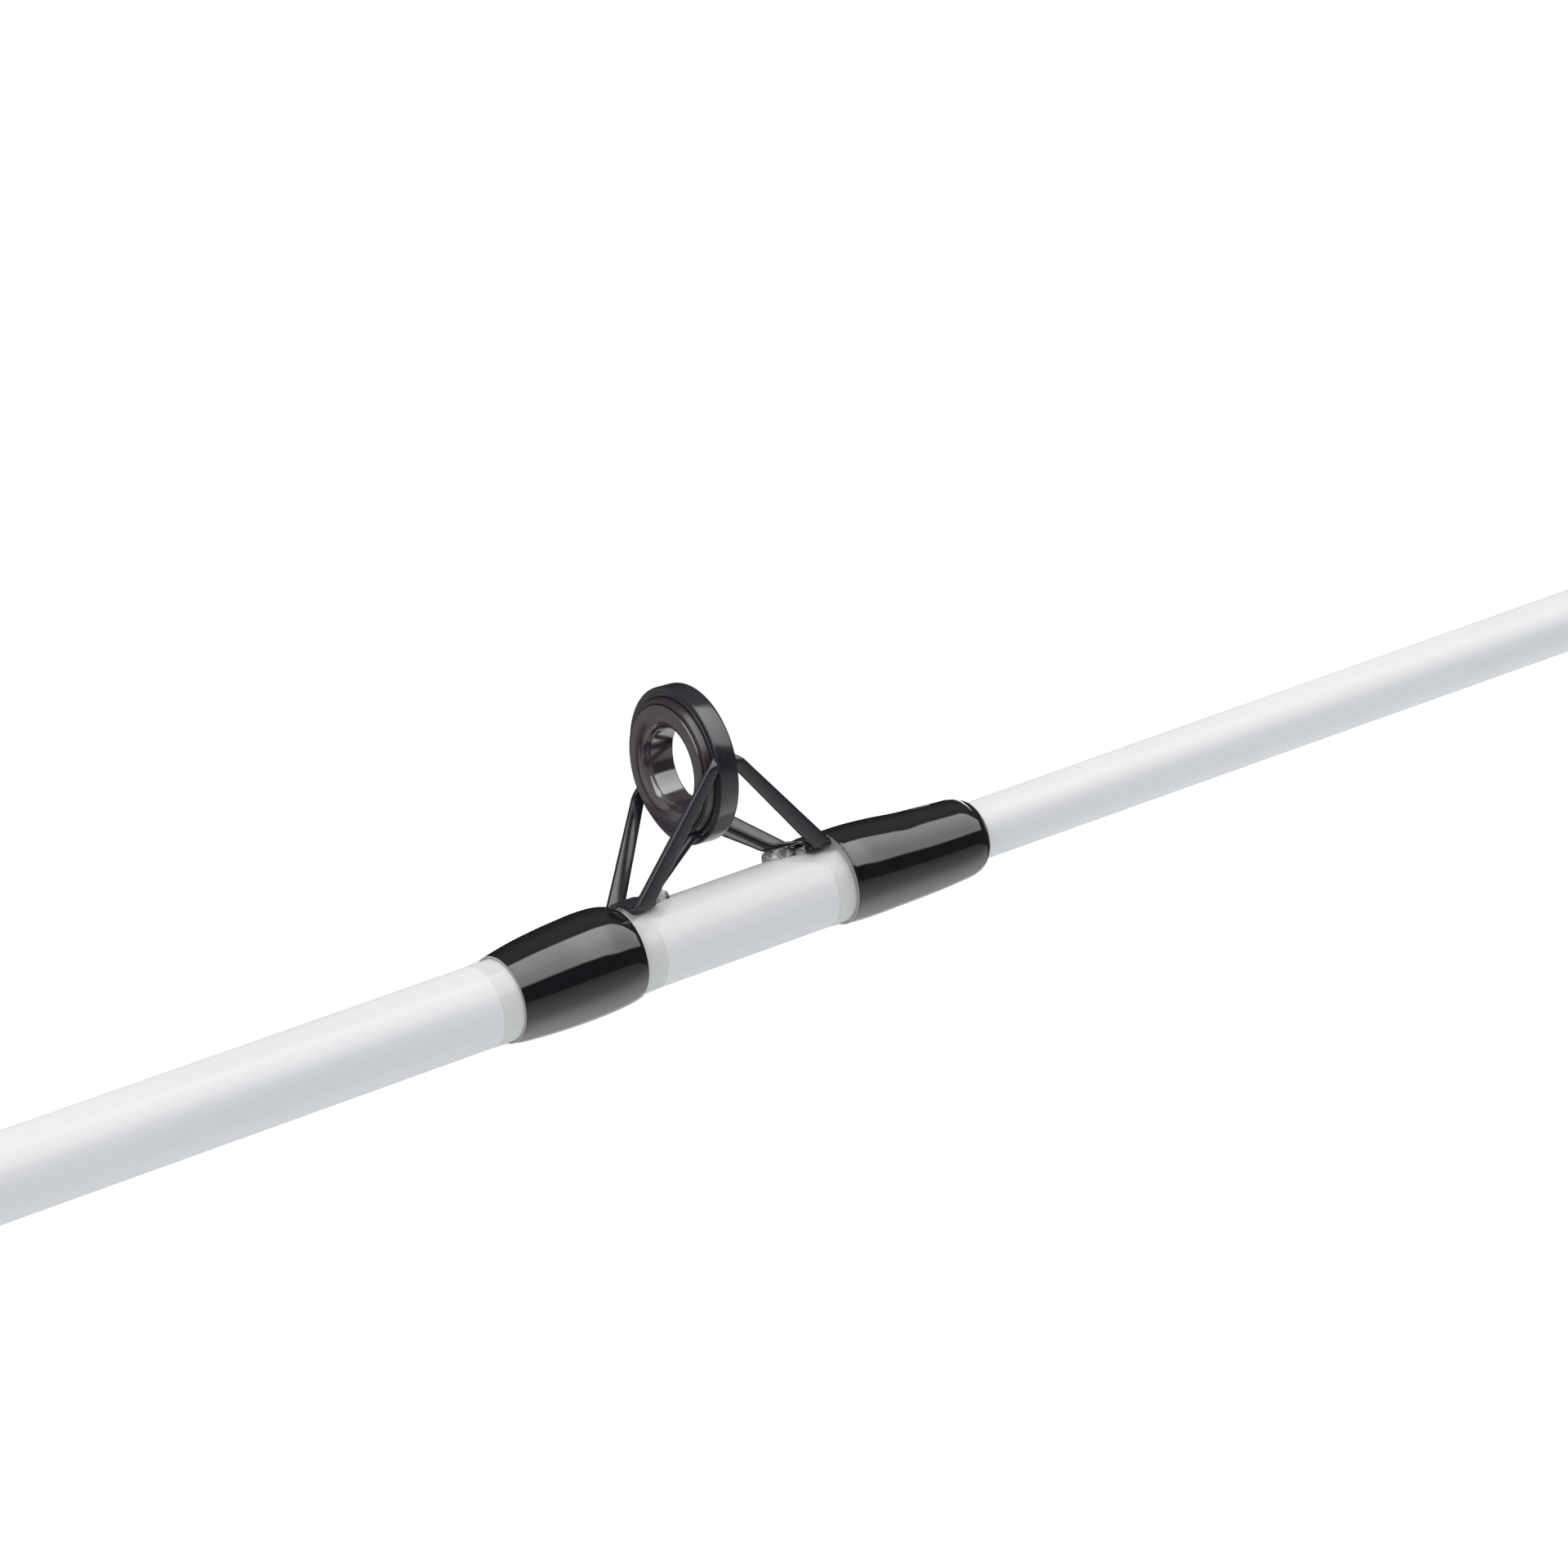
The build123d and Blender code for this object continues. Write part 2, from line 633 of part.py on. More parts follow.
def coats(label, g, frame):
    """Clear resin collars on the blank beside the wraps, each thinning away from its wrap."""
    rear_near, rear_far = (g.station - WRAP_NEAR[-1] * g.k, g.station - WRAP_FAR[-1] * g.k)
    front_near = g.station + WRAP_NEAR[1] * g.k
    reach = COAT_LENGTH * g.k
    collars = []
    for wrap_end, step in ((rear_far, -reach), (rear_near, reach), (front_near, -reach)):
        edge = wrap_end + step
        with BuildPart() as resin:
            with BuildSketch(Plane.XZ):
                with BuildLine():
                    Polyline(
                        (wrap_end, g.radius(wrap_end)),
                        (wrap_end, g.radius(wrap_end) + COAT_BUILD),
                        (edge, g.radius(edge) + COAT_EDGE),
                        (edge, g.radius(edge)),
                        close=True,
                    )
                make_face()
            revolve(axis=Axis.X)
            add(frame, mode=Mode.SUBTRACT)
        collars.append(resin.part)
    return Compound(label=label, children=collars)


def guide_pieces(name, g):
    frame = guide_frame(f"{name}_frame", g)
    return {
        f"{name}_frame": frame,
        f"{name}_shock_ring": shock_ring(f"{name}_shock_ring", g),
        f"{name}_ring": ceramic_ring(f"{name}_ring", g),
    }


# ------------------------------------------------------------------ tip ring
def tip_top_guide():
    """The tip ring leans forward over the end of the tip tube."""
    station = TIP_TUBE_START + TIP_TUBE_LENGTH
    g = Guide(station, TIP_RING_SIZE, tip_radius, lean=TIP_RING_LEAN)
    g.height = g.collar_radius + TIP_END_OD / 2
    g.centre = Vector(station, 0, g.height)
    g.ring_plane = Plane(origin=g.centre, x_dir=g.ring_axis, z_dir=(0, -1, 0))
    return g


def tip_top_frame(g):
    """Tube that fits over the tip, with two braces up to the sides of its collar."""
    k = g.k
    bore = tip_radius(TIP_TUBE_START)
    tube = bore + TIP_TUBE_WALL
    with BuildPart() as frame:
        add(collar(g))
        with BuildSketch(Plane.YZ.offset(TIP_TUBE_START)):
            Circle(tube)
        extrude(amount=TIP_TUBE_LENGTH)
        for side in (-1, 1):
            root = Vector(TIP_TUBE_START + TIP_BRACE_WIDTH, side * (tube - TIP_BRACE_ROOT), 0)
            top = g.centre + Vector(0, side * (g.collar_radius - COLLAR_WALL * k / 2), 0)
            half = TIP_BRACE_WIDTH / 2
            run = top - root
            leaf = Plane(origin=root, x_dir=run, z_dir=run.cross(Vector(0, 0, 1)))
            with BuildSketch(leaf):
                with BuildLine():
                    Polyline((0, -half), (run.length, -half), (run.length, half), (0, half), close=True)
                make_face()
            extrude(amount=LEG_THICKNESS * k / 2, both=True)
        # bored over the tip blank; the ring's own bore stays open
        with BuildSketch(Plane.XZ):
            with BuildLine():
                Polyline(
                    (TIP_TUBE_START, 0),
                    *blank_surface(tip_radius, TIP_TUBE_START, TIP_BLANK_END),
                    (TIP_BLANK_END, 0),
                    close=True,
                )
            make_face()
        revolve(axis=Axis.X, mode=Mode.SUBTRACT)
        with BuildSketch(g.ring_plane):
            with BuildLine():
                reach = TIP_TUBE_LENGTH
                Polyline((-reach, 0), (-reach, g.shock_radius), (reach, g.shock_radius), (reach, 0), close=True)
            make_face()
        revolve(axis=Axis(g.centre, g.ring_axis), mode=Mode.SUBTRACT)
    frame.part.label = "tip_top_frame"
    return frame.part


def tip_blank():
    with BuildPart() as blank:
        with BuildSketch(Plane.XZ):
            with BuildLine():
                Polyline((SPIGOT_START, 0), *tip_stations(), (TIP_BLANK_END, 0), close=True)
            make_face()
        revolve(axis=Axis.X)
    blank.part.label = "tip_blank"
    return blank.part


def tip_top_wrap():
    start = TIP_TUBE_START - TIP_WRAP_LENGTH
    outline = [
        (start, tip_radius(start) + COAT_EDGE),
        (start + TIP_WRAP_EDGE, tip_radius(start) + TIP_WRAP_BUILD),
        (TIP_TUBE_START, tip_radius(TIP_TUBE_START) + TIP_WRAP_BUILD),
    ]
    return turned("tip_top_wrap", outline, tip_radius)


# ------------------------------------------------------------------ the rod
def build():
    pieces = {
        "butt_blank": butt_blank(),
        "gimbal_nock": gimbal_nock(),
        "butt_cap": butt_cap(),
        "rear_grip": rear_grip(),
        "seat_ring": seat_ring(),
        "seat_barrel": seat_barrel(),
        "seat_arbors": seat_arbors(),
        "fixed_hood": hood("fixed_hood", FIXED_HOOD_MOUTH, 1, 0.0),
        "sliding_hood": hood("sliding_hood", SLIDING_HOOD_MOUTH, -1, RUNNING_GAP),
        "hood_nut": ring_nut("hood_nut", NUT_START, NUT_LENGTH, NUT_WIDTH),
        "lock_nut": ring_nut("lock_nut", LOCK_NUT_START, LOCK_NUT_LENGTH, LOCK_NUT_WIDTH),
        "foregrip": foregrip(),
        "winding_check": winding_check(),
        "trim_wrap": trim_wrap(),
        "tip_blank": tip_blank(),
        "tip_top_wrap": tip_top_wrap(),
    }
    for name, (station, size) in BUTT_GUIDES.items():
        g = Guide(station, size, butt_radius)
        made = guide_pieces(name, g)
        pieces.update(made)
        frame = made[f"{name}_frame"]
        if name == "guide_16":
            pieces["guide_16_wrap"] = thread_wrap("guide_16_wrap", g, frame, -1)
            pieces["ferrule_wrap"] = thread_wrap("ferrule_wrap", g, frame, 1, FERRULE_LIP)
            pieces["guide_16_coats"] = coats("guide_16_coats", g, frame)
        else:
            wraps = [thread_wrap("wrap", g, frame, end) for end in (-1, 1)]
            pieces[f"{name}_wraps"] = Compound(label=f"{name}_wraps", children=wraps)
    tip_wraps = []
    for name, (share, size) in TIP_GUIDES.items():
        g = Guide(BUTT_LENGTH + share * TIP_LENGTH, size, tip_radius)
        made = guide_pieces(name, g)
        pieces.update(made)
        for end in (-1, 1):
            tip_wraps.append(thread_wrap("wrap", g, made[f"{name}_frame"], end))
    pieces["tip_wraps"] = Compound(label="tip_wraps", children=tip_wraps)
    g = tip_top_guide()
    pieces["tip_top_frame"] = tip_top_frame(g)
    pieces["tip_top_shock_ring"] = shock_ring("tip_top_shock_ring", g)
    pieces["tip_top_ring"] = ceramic_ring("tip_top_ring", g)
    return pieces


for node, solid in build().items():
    export_step(solid, f"parts/{node}.step")
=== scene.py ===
"""Looks of a two-piece boat rod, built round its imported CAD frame.

Lengths are millimetres until a mesh is made.  The rod lies along +X from its butt end,
and its line guides stand up along +Z.
"""

import functools
import math

import bmesh
import bpy
import numpy as np
from mathutils import Matrix, Vector


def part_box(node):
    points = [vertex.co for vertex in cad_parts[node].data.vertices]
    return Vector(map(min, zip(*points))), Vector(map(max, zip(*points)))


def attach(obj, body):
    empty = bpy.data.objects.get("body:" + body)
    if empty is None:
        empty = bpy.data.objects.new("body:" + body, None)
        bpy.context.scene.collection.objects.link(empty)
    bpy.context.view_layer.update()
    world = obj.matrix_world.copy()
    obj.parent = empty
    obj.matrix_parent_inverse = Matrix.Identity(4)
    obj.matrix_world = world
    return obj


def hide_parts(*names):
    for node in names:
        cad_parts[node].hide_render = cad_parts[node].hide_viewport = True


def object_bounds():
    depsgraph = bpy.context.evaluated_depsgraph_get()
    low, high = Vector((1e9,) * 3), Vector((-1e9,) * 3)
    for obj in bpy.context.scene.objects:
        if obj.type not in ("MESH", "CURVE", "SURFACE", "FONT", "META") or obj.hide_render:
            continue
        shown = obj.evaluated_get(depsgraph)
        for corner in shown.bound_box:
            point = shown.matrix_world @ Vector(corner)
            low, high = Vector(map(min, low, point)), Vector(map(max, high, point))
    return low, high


MM = 0.001
X_AXIS = Vector((1, 0, 0))
Y_AXIS = Vector((0, 1, 0))
Z_AXIS = Vector((0, 0, 1))

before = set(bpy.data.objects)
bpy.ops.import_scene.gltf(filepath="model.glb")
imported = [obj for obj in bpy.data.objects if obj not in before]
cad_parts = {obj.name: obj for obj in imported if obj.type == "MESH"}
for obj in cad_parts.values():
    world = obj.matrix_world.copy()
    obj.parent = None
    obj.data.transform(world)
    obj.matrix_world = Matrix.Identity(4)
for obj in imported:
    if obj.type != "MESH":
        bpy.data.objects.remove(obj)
cad_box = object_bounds()


# ------------------------------------------------------------------ sizes read from the frame
def span(node):
    """First and last station of a CAD node along the rod."""
    low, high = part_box(node)
    return low.x / MM, high.x / MM


def centre_of(node):
    low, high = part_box(node)
    return (low + high) / 2 / MM


BUTT_END_OD = 15.8
BUTT_TAPER = 0.0063
BUTT_WALL = 2.2
MOUTH_THINNING = 0.35  # how much the butt blank's wall thins over its last stretch
THINNED_LENGTH = 3.0
SPIGOT_LENGTH = 60.0
SPIGOT_OD = 7.25
SOCKET_RADIUS = 3.675
TIP_PARALLEL_OD = 7.15
TIP_PARALLEL = 90.0
TIP_END_OD = 2.6
CENTRE_LINE = 0.01  # a solid bar's outline stops this close to its axis
BUTT_START, BUTT_END = span("butt_blank")
SPIGOT_START, TIP_END = span("tip_blank")
MOUTH = SPIGOT_START + SPIGOT_LENGTH


def butt_radius(x):
    return (BUTT_END_OD - BUTT_TAPER * x) / 2


def butt_skin(x):
    """The butt blank's outside, thinned at its mouth so that the thread can close over it."""
    share = (x - MOUTH + THINNED_LENGTH) / THINNED_LENGTH
    return butt_radius(x) - MOUTH_THINNING * float(np.clip(share, 0, 1))


def tip_radius(x):
    return float(np.interp(
        x,
        [SPIGOT_START, MOUTH, MOUTH + TIP_PARALLEL, TIP_END],
        [SPIGOT_OD / 2, SPIGOT_OD / 2, TIP_PARALLEL_OD / 2, TIP_END_OD / 2],
    ))


# ------------------------------------------------------------------ mesh tools
def soften(points, radius, steps=4, closed=True):
    """Rounds the corners of an outline; radius is one number or one for each point.

    A rounding takes up at most 0.48 of the straight on each side of its corner.
    """
    pts = [np.array(p, float) for p in points]
    count = len(pts)
    radii = radius if hasattr(radius, "__len__") else [radius] * count
    out = []
    for i, p in enumerate(pts):
        if (not closed and i in (0, count - 1)) or radii[i] <= 0:
            out.append(p)
            continue
        before, after = pts[i - 1] - p, pts[(i + 1) % count] - p
        reach_in = min(radii[i], 0.48 * np.linalg.norm(before))
        reach_out = min(radii[i], 0.48 * np.linalg.norm(after))
        a = p + before / np.linalg.norm(before) * reach_in
        b = p + after / np.linalg.norm(after) * reach_out
        for t in np.linspace(0, 1, steps + 1):
            out.append((1 - t) ** 2 * a + 2 * t * (1 - t) * p + t * t * b)
    return out


def smooth_table(points, stations):
    """Values at the stations of a smooth cubic curve through (station, value) points."""
    xs, ys = np.array(points, float).T
    slopes = np.gradient(ys, xs)
    out = []
    for x in stations:
        i = int(np.clip(np.searchsorted(xs, x) - 1, 0, len(xs) - 2))
        h = xs[i + 1] - xs[i]
        t = float(np.clip((x - xs[i]) / h, 0, 1))
        out.append(
            (2 * t**3 - 3 * t**2 + 1) * ys[i] + (t**3 - 2 * t**2 + t) * h * slopes[i]
            + (3 * t**2 - 2 * t**3) * ys[i + 1] + (t**3 - t**2) * h * slopes[i + 1]
        )
    return np.array(out)


class Shell:
    """Gathers the faces of one piece, in millimetres."""

    def __init__(self):
        self.verts = []
        self.faces = []

    def skin(self, rings, closed=False):
        """Skins a run of equal loops of points; a run that isn't closed gets end caps."""
        rings = np.asarray(rings, float)
        runs, around = rings.shape[:2]
        base = len(self.verts)
        self.verts.extend(map(tuple, rings.reshape(-1, 3)))
        for i in range(runs if closed else runs - 1):
            a, b = base + i * around, base + (i + 1) % runs * around
            for j in range(around):
                k = (j + 1) % around
                self.faces.append((a + j, a + k, b + k, b + j))
        if not closed:
            self.faces.append(tuple(base + j for j in reversed(range(around))))
            self.faces.append(tuple(base + (runs - 1) * around + j for j in range(around)))
        return self

    def turn(self, outline, around=96, origin=(0, 0, 0), axis=X_AXIS, sweep=None):
        """Turns a closed outline of (along, radius) points about an axis.

        sweep(along, radius, angle) may change the radius round the turn; angle 0 is up.
        """
        axis = Vector(axis).normalized()
        up = axis.cross(Y_AXIS)
        up = up if up.z > 0 else -up
        origin = np.array(origin, float)
        angles = np.linspace(0, 2 * math.pi, around, endpoint=False)
        rings = []
        for along, radius in outline:
            loop = []
            for angle in angles:
                r = sweep(along, radius, angle) if sweep else radius
                loop.append(
                    origin + along * np.array(axis)
                    + r * (math.cos(angle) * np.array(up) + math.sin(angle) * np.array(Y_AXIS))
                )
            rings.append(loop)
        return self.skin(rings, closed=True)

    def strip(self, path, widths, thicks, across, edge=0.3, crown=0.0):
        """Runs a flat bar along a path; across is its width's direction.

        edge is the rounding of its four long edges, and crown how far its outer face bulges;
        the inner face bulges less.
        """
        path = [Vector(p) for p in path]
        across = Vector(across).normalized()
        rings = []
        for i, p in enumerate(path):
            along = path[min(i + 1, len(path) - 1)] - path[max(i - 1, 0)]
            normal = along.cross(across)
            normal.normalize()
            w, t = widths[i] / 2, thicks[i] / 2
            corner = min(edge, t * 0.95, w * 0.95)
            loop = []
            for sx, sy, start in ((1, 1, 0), (-1, 1, 90), (-1, -1, 180), (1, -1, 270)):
                for step in range(4):
                    a = math.radians(start + step * 30)
                    u = sx * (w - corner) + corner * math.cos(a)
                    v = sy * (t - corner) + corner * math.sin(a)
                    v += crown * (1 - (u / w) ** 2) * (1 if v > 0 else -0.4)
                    loop.append(p + across * u + normal * v)
            rings.append(loop)
        return self.skin(rings)

    def make(self, name, body, slot, finish, replaces=(), sharp=40.0):
        """Makes the faces a piece of the scene; edges of more than sharp degrees stay crisp."""
        mesh = bpy.data.meshes.new(name)
        mesh.from_pydata([tuple(c * MM for c in v) for v in self.verts], [], self.faces)
        clean = bmesh.new()
        clean.from_mesh(mesh)
        bmesh.ops.recalc_face_normals(clean, faces=clean.faces)
        clean.to_mesh(mesh)
        clean.free()
        mesh.shade_smooth()
        mesh.set_sharp_from_angle(angle=math.radians(sharp))
        mesh.materials.append(finish)
        obj = bpy.data.objects.new(name, mesh)
        bpy.context.scene.collection.objects.link(obj)
        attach(obj, body)
        if replaces:
            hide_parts(*replaces)
        return obj


# ------------------------------------------------------------------ materials
class Nodes:
    """Shorthand for building a node tree; a value is a number or another node's output."""

    def __init__(self, tree):
        self.tree = tree
        self.tree.nodes.clear()

    def add(self, kind, **settings):
        node = self.tree.nodes.new(kind)
        inputs = settings.pop("inputs", {})
        for key, value in settings.items():
            setattr(node, key, value)
        for key, value in inputs.items():
            self.put(node.inputs[key], value)
        return node

    def put(self, socket, value):
        if isinstance(value, bpy.types.NodeSocket):
            self.tree.links.new(value, socket)
        else:
            socket.default_value = value

    def math(self, operation, a, b):
        node = self.add("ShaderNodeMath", operation=operation)
        self.put(node.inputs[0], a)
        self.put(node.inputs[1], b)
        return node.outputs[0]

    def product(self, *values):
        return functools.reduce(lambda a, b: self.math("MULTIPLY", a, b), values)

    def highest(self, *values):
        return functools.reduce(lambda a, b: self.math("MAXIMUM", a, b), values)

    def ramp(self, value, low, high, to_low=0.0, to_high=1.0, smooth=True):
        """Maps low to high onto to_low to to_high, and holds the end values outside."""
        node = self.add(
            "ShaderNodeMapRange",
            interpolation_type="SMOOTHSTEP" if smooth else "LINEAR",
            inputs={"From Min": low, "From Max": high, "To Min": to_low, "To Max": to_high},
        )
        self.put(node.inputs["Value"], value)
        return node.outputs["Result"]

    def mix(self, factor, a, b):
        """Mixes two colours."""
        node = self.add("ShaderNodeMix", data_type="RGBA")
        self.put(node.inputs[0], factor)
        self.put(node.inputs[6], a)
        self.put(node.inputs[7], b)
        return node.outputs[2]

    def place(self, scale=(1, 1, 1)):
        """The piece's own coordinates, stretched by scale."""
        coords = self.add("ShaderNodeTexCoord")
        mapping = self.add("ShaderNodeMapping", inputs={"Scale": scale})
        self.tree.links.new(coords.outputs["Object"], mapping.inputs["Vector"])
        return mapping.outputs["Vector"]

    def noise(self, scale, detail=2.0, stretch=(1, 1, 1), roughness=0.5):
        node = self.add("ShaderNodeTexNoise", inputs={
            "Scale": scale, "Detail": detail, "Roughness": roughness, "Vector": self.place(stretch),
        })
        return node.outputs["Fac"]

    def bump(self, height, strength, distance):
        node = self.add("ShaderNodeBump", inputs={
            "Strength": strength, "Distance": distance, "Height": height,
        })
        return node.outputs["Normal"]


def rgb(r, g, b):
    return (r, g, b, 1.0)


def material(name, build, **principled):
    """A Principled material; build(nodes, shader) adds its pattern and bump."""
    mat = bpy.data.materials.new(name)
    mat.use_nodes = True
    n = Nodes(mat.node_tree)
    shader = n.add("ShaderNodeBsdfPrincipled")
    for key, value in principled.items():
        shader.inputs[key.replace("_", " ")].default_value = value
    out = n.add("ShaderNodeOutputMaterial")
    mat.node_tree.links.new(shader.outputs[0], out.inputs["Surface"])
    build(n, shader)
    return mat


def tinted(n, shader, low, high, factor):
    """Lets the base colour wander between two colours."""
    n.put(shader.inputs["Base Color"], n.mix(factor, low, high))


def paint(n, shader):
    """White paint under clear coat: faint cloud, rare specks and a slight orange peel."""
    cloud = n.noise(90.0, 3.0, (0.25, 1, 1))
    specks = n.ramp(n.noise(900.0, 1.0), 0.80, 0.84)
    base = n.mix(n.ramp(cloud, 0.3, 0.7), rgb(0.845, 0.855, 0.865), rgb(0.875, 0.88, 0.885))
    tint = n.mix(n.math("MULTIPLY", specks, 0.35), base, rgb(0.45, 0.46, 0.48))
    n.put(shader.inputs["Base Color"], tint)
    peel = n.noise(420.0, 2.0, (0.15, 1, 1))
    n.put(shader.inputs["Roughness"], n.ramp(cloud, 0.2, 0.8, 0.42, 0.5))
    n.put(shader.inputs["Normal"], n.bump(peel, 0.10, 0.0003))
    n.put(shader.inputs["Coat Normal"], n.bump(peel, 0.05, 0.0003))


def wound_thread(n, shader):
    """Black thread wound under resin: fine turns that show only as a trace in the gloss."""
    turns = n.add("ShaderNodeTexWave", wave_type="BANDS", bands_direction="X", inputs={
        "Scale": 1000.0, "Distortion": 0.6, "Detail": 1.0, "Vector": n.place(),
    }).outputs["Fac"]
    tinted(n, shader, rgb(0.005, 0.004, 0.006), rgb(0.011, 0.009, 0.012), turns)
    ripple = n.noise(260.0, 2.0, (0.5, 1, 1))
    n.put(shader.inputs["Normal"], n.bump(turns, 0.02, 0.00002))
    n.put(shader.inputs["Coat Normal"], n.bump(ripple, 0.05, 0.0002))


def cured_resin(n, shader):
    """Clear epoxy: a faint grey-beige veil over what lies under it, and a wet gloss."""
    haze = n.noise(160.0, 2.0)
    tinted(n, shader, rgb(0.82, 0.82, 0.765), rgb(0.88, 0.88, 0.83), n.ramp(haze, 0.3, 0.7))
    n.put(shader.inputs["Alpha"], n.ramp(haze, 0.3, 0.7, 0.30, 0.38))


def pooled_resin(n, shader):
    """Deep resin under a foot: its colour paints the dark foot's shade and image into the resin, broken by
    pale painted glints of small bubbles.
    """
    cloud = n.noise(1100.0, 3.0, (1, 1, 1), 0.6)
    # painted shade and painted highlights: near-black patches stand for the foot's shade seen through the
    # resin, pale ones for glints on bubbles
    tinted(n, shader, rgb(0.05, 0.045, 0.045), rgb(0.70, 0.69, 0.66), n.ramp(cloud, 0.46, 0.64))
    n.put(shader.inputs["Alpha"], n.ramp(cloud, 0.3, 0.7, 0.8, 0.5))
    n.put(shader.inputs["Normal"], n.bump(cloud, 0.35, 0.0002))


def plated_steel(n, shader):
    """Black plating: nearly black, with uneven gloss and fine marks from the press."""
    wear = n.noise(1500.0, 4.0, (1, 1, 1), 0.6)
    tinted(n, shader, rgb(0.018, 0.015, 0.020), rgb(0.024, 0.020, 0.027), n.ramp(wear, 0.3, 0.7))
    n.put(shader.inputs["Roughness"], n.ramp(wear, 0.2, 0.8, 0.17, 0.21))
    n.put(shader.inputs["Normal"], n.bump(n.noise(1800.0, 2.0), 0.05, 0.00006))


def polished_ceramic(n, shader):
    """Warm near-black ceramic with a faint cloud and a polished skin."""
    cloud = n.noise(500.0, 2.0)
    tinted(n, shader, rgb(0.032, 0.021, 0.030), rgb(0.046, 0.033, 0.044), n.ramp(cloud, 0.3, 0.7))
    n.put(shader.inputs["Roughness"], n.ramp(cloud, 0.3, 0.7, 0.10, 0.15))


def moulded_black(n, shader):
    """Shock ring: dark moulded plastic with a fine matt grain."""
    grain = n.noise(5200.0, 3.0)
    tinted(n, shader, rgb(0.022, 0.016, 0.021), rgb(0.034, 0.026, 0.033), grain)
    n.put(shader.inputs["Normal"], n.bump(grain, 0.15, 0.00004))


def closed_cell_foam(n, shader):
    """EVA foam: close cells, darker in their hollows and lighter on their rims as painted shade, and soft
    mottling.
    """
    cells = n.add("ShaderNodeTexVoronoi", feature="SMOOTH_F1", inputs={
        "Scale": 1300.0, "Smoothness": 0.6, "Vector": n.place(),
    }).outputs["Distance"]
    mottle = n.noise(240.0, 4.0)
    # painted shade: darker in the cells' hollows, where the bump sinks, times a random mottle
    painted_pit_shade_and_mottle = n.math("MULTIPLY", n.ramp(cells, 0.1, 0.75), n.ramp(mottle, 0.2, 0.8, 0.7, 1.0))
    tinted(n, shader, rgb(0.016, 0.016, 0.017), rgb(0.050, 0.050, 0.052), painted_pit_shade_and_mottle)
    n.put(shader.inputs["Normal"], n.bump(cells, 0.55, 0.00018))
    n.put(shader.inputs["Roughness"], n.ramp(mottle, 0.3, 0.7, 0.72, 0.86))


def moulded_rubber(n, shader):
    """Matt rubber with a fine grain and paler scuffs."""
    grain = n.noise(3000.0, 4.0, (1, 1, 1), 0.6)
    scuff = n.ramp(n.noise(180.0, 5.0, (1, 1, 1), 0.65), 0.52, 0.72)
    tinted(n, shader, rgb(0.018, 0.018, 0.018), rgb(0.050, 0.049, 0.047), scuff)
    n.put(shader.inputs["Roughness"], n.ramp(grain, 0.3, 0.7, 0.55, 0.72))
    n.put(shader.inputs["Normal"], n.bump(grain, 0.35, 0.0001))


def turned_metal(n, shader):
    """Fine lathe marks round the rod's axis."""
    marks = n.noise(40.0, 4.0, (160, 1, 1), 0.7)
    tinted(n, shader, rgb(0.50, 0.50, 0.52), rgb(0.66, 0.66, 0.68), n.ramp(marks, 0.3, 0.7))
    n.put(shader.inputs["Roughness"], n.ramp(marks, 0.2, 0.8, 0.20, 0.34))
    n.put(shader.inputs["Normal"], n.bump(marks, 0.08, 0.00005))


def filled_nylon(n, shader):
    """Glass-filled nylon: faint flow marks along the rod and a moulded grain."""
    flow = n.noise(900.0, 4.0, (0.3, 1, 1), 0.6)
    tinted(n, shader, rgb(0.014, 0.014, 0.015), rgb(0.028, 0.028, 0.030), n.ramp(flow, 0.3, 0.7))
    n.put(shader.inputs["Roughness"], n.ramp(flow, 0.2, 0.8, 0.30, 0.42))
    n.put(shader.inputs["Normal"], n.bump(n.noise(4000.0, 3.0), 0.18, 0.00004))


def bare_glass_fibre(n, shader):
    """Ground, unpainted spigot with faint marks from the sanding belt."""
    marks = n.noise(70.0, 4.0, (40, 1, 1), 0.7)
    tinted(n, shader, rgb(0.30, 0.31, 0.27), rgb(0.42, 0.43, 0.38), n.ramp(marks, 0.3, 0.7))
    n.put(shader.inputs["Normal"], n.bump(marks, 0.12, 0.0001))


def rigid_foam(n, shader):
    """Pale foam of the bushings between blank and barrel."""
    cells = n.noise(1800.0, 4.0)
    tinted(n, shader, rgb(0.34, 0.31, 0.26), rgb(0.52, 0.48, 0.41), cells)
    n.put(shader.inputs["Normal"], n.bump(cells, 0.4, 0.0002))


WHITE = material("white_paint", paint, Coat_Weight=0.16, Coat_Roughness=0.1, Coat_IOR=1.5,
                 Specular_IOR_Level=0.34)
THREAD = material("black_thread_in_resin", wound_thread, Roughness=0.4, Coat_Weight=1.0,
                  Coat_Roughness=0.02, Coat_IOR=1.52, Specular_IOR_Level=0.0)
RESIN = material("clear_resin", cured_resin, Roughness=0.06, IOR=1.5)
# the pool's colour holds painted shade of the foot and painted glints
POOL_PAINTED_SHADE = material("pooled_resin", pooled_resin, Roughness=0.05, IOR=1.5)
STEEL = material("black_plated_steel", plated_steel, Specular_IOR_Level=0.42, Coat_Weight=0.08,
                 Coat_Roughness=0.04)
CERAMIC = material("dark_ceramic", polished_ceramic, IOR=1.85)
SHOCK = material("black_moulded_ring", moulded_black, Roughness=0.3)
FOAM = material("eva_foam", closed_cell_foam, Specular_IOR_Level=0.3, Sheen_Weight=0.15,
                Sheen_Roughness=0.5)
RUBBER = material("black_rubber", moulded_rubber, Specular_IOR_Level=0.4)
METAL = material("turned_aluminium", turned_metal, Metallic=1.0)
NYLON = material("filled_nylon", filled_nylon, Coat_Weight=0.3, Coat_Roughness=0.2)
SPIGOT = material("ground_glass_fibre", bare_glass_fibre, Roughness=0.5)
ARBOR = material("rigid_foam", rigid_foam, Roughness=0.9)


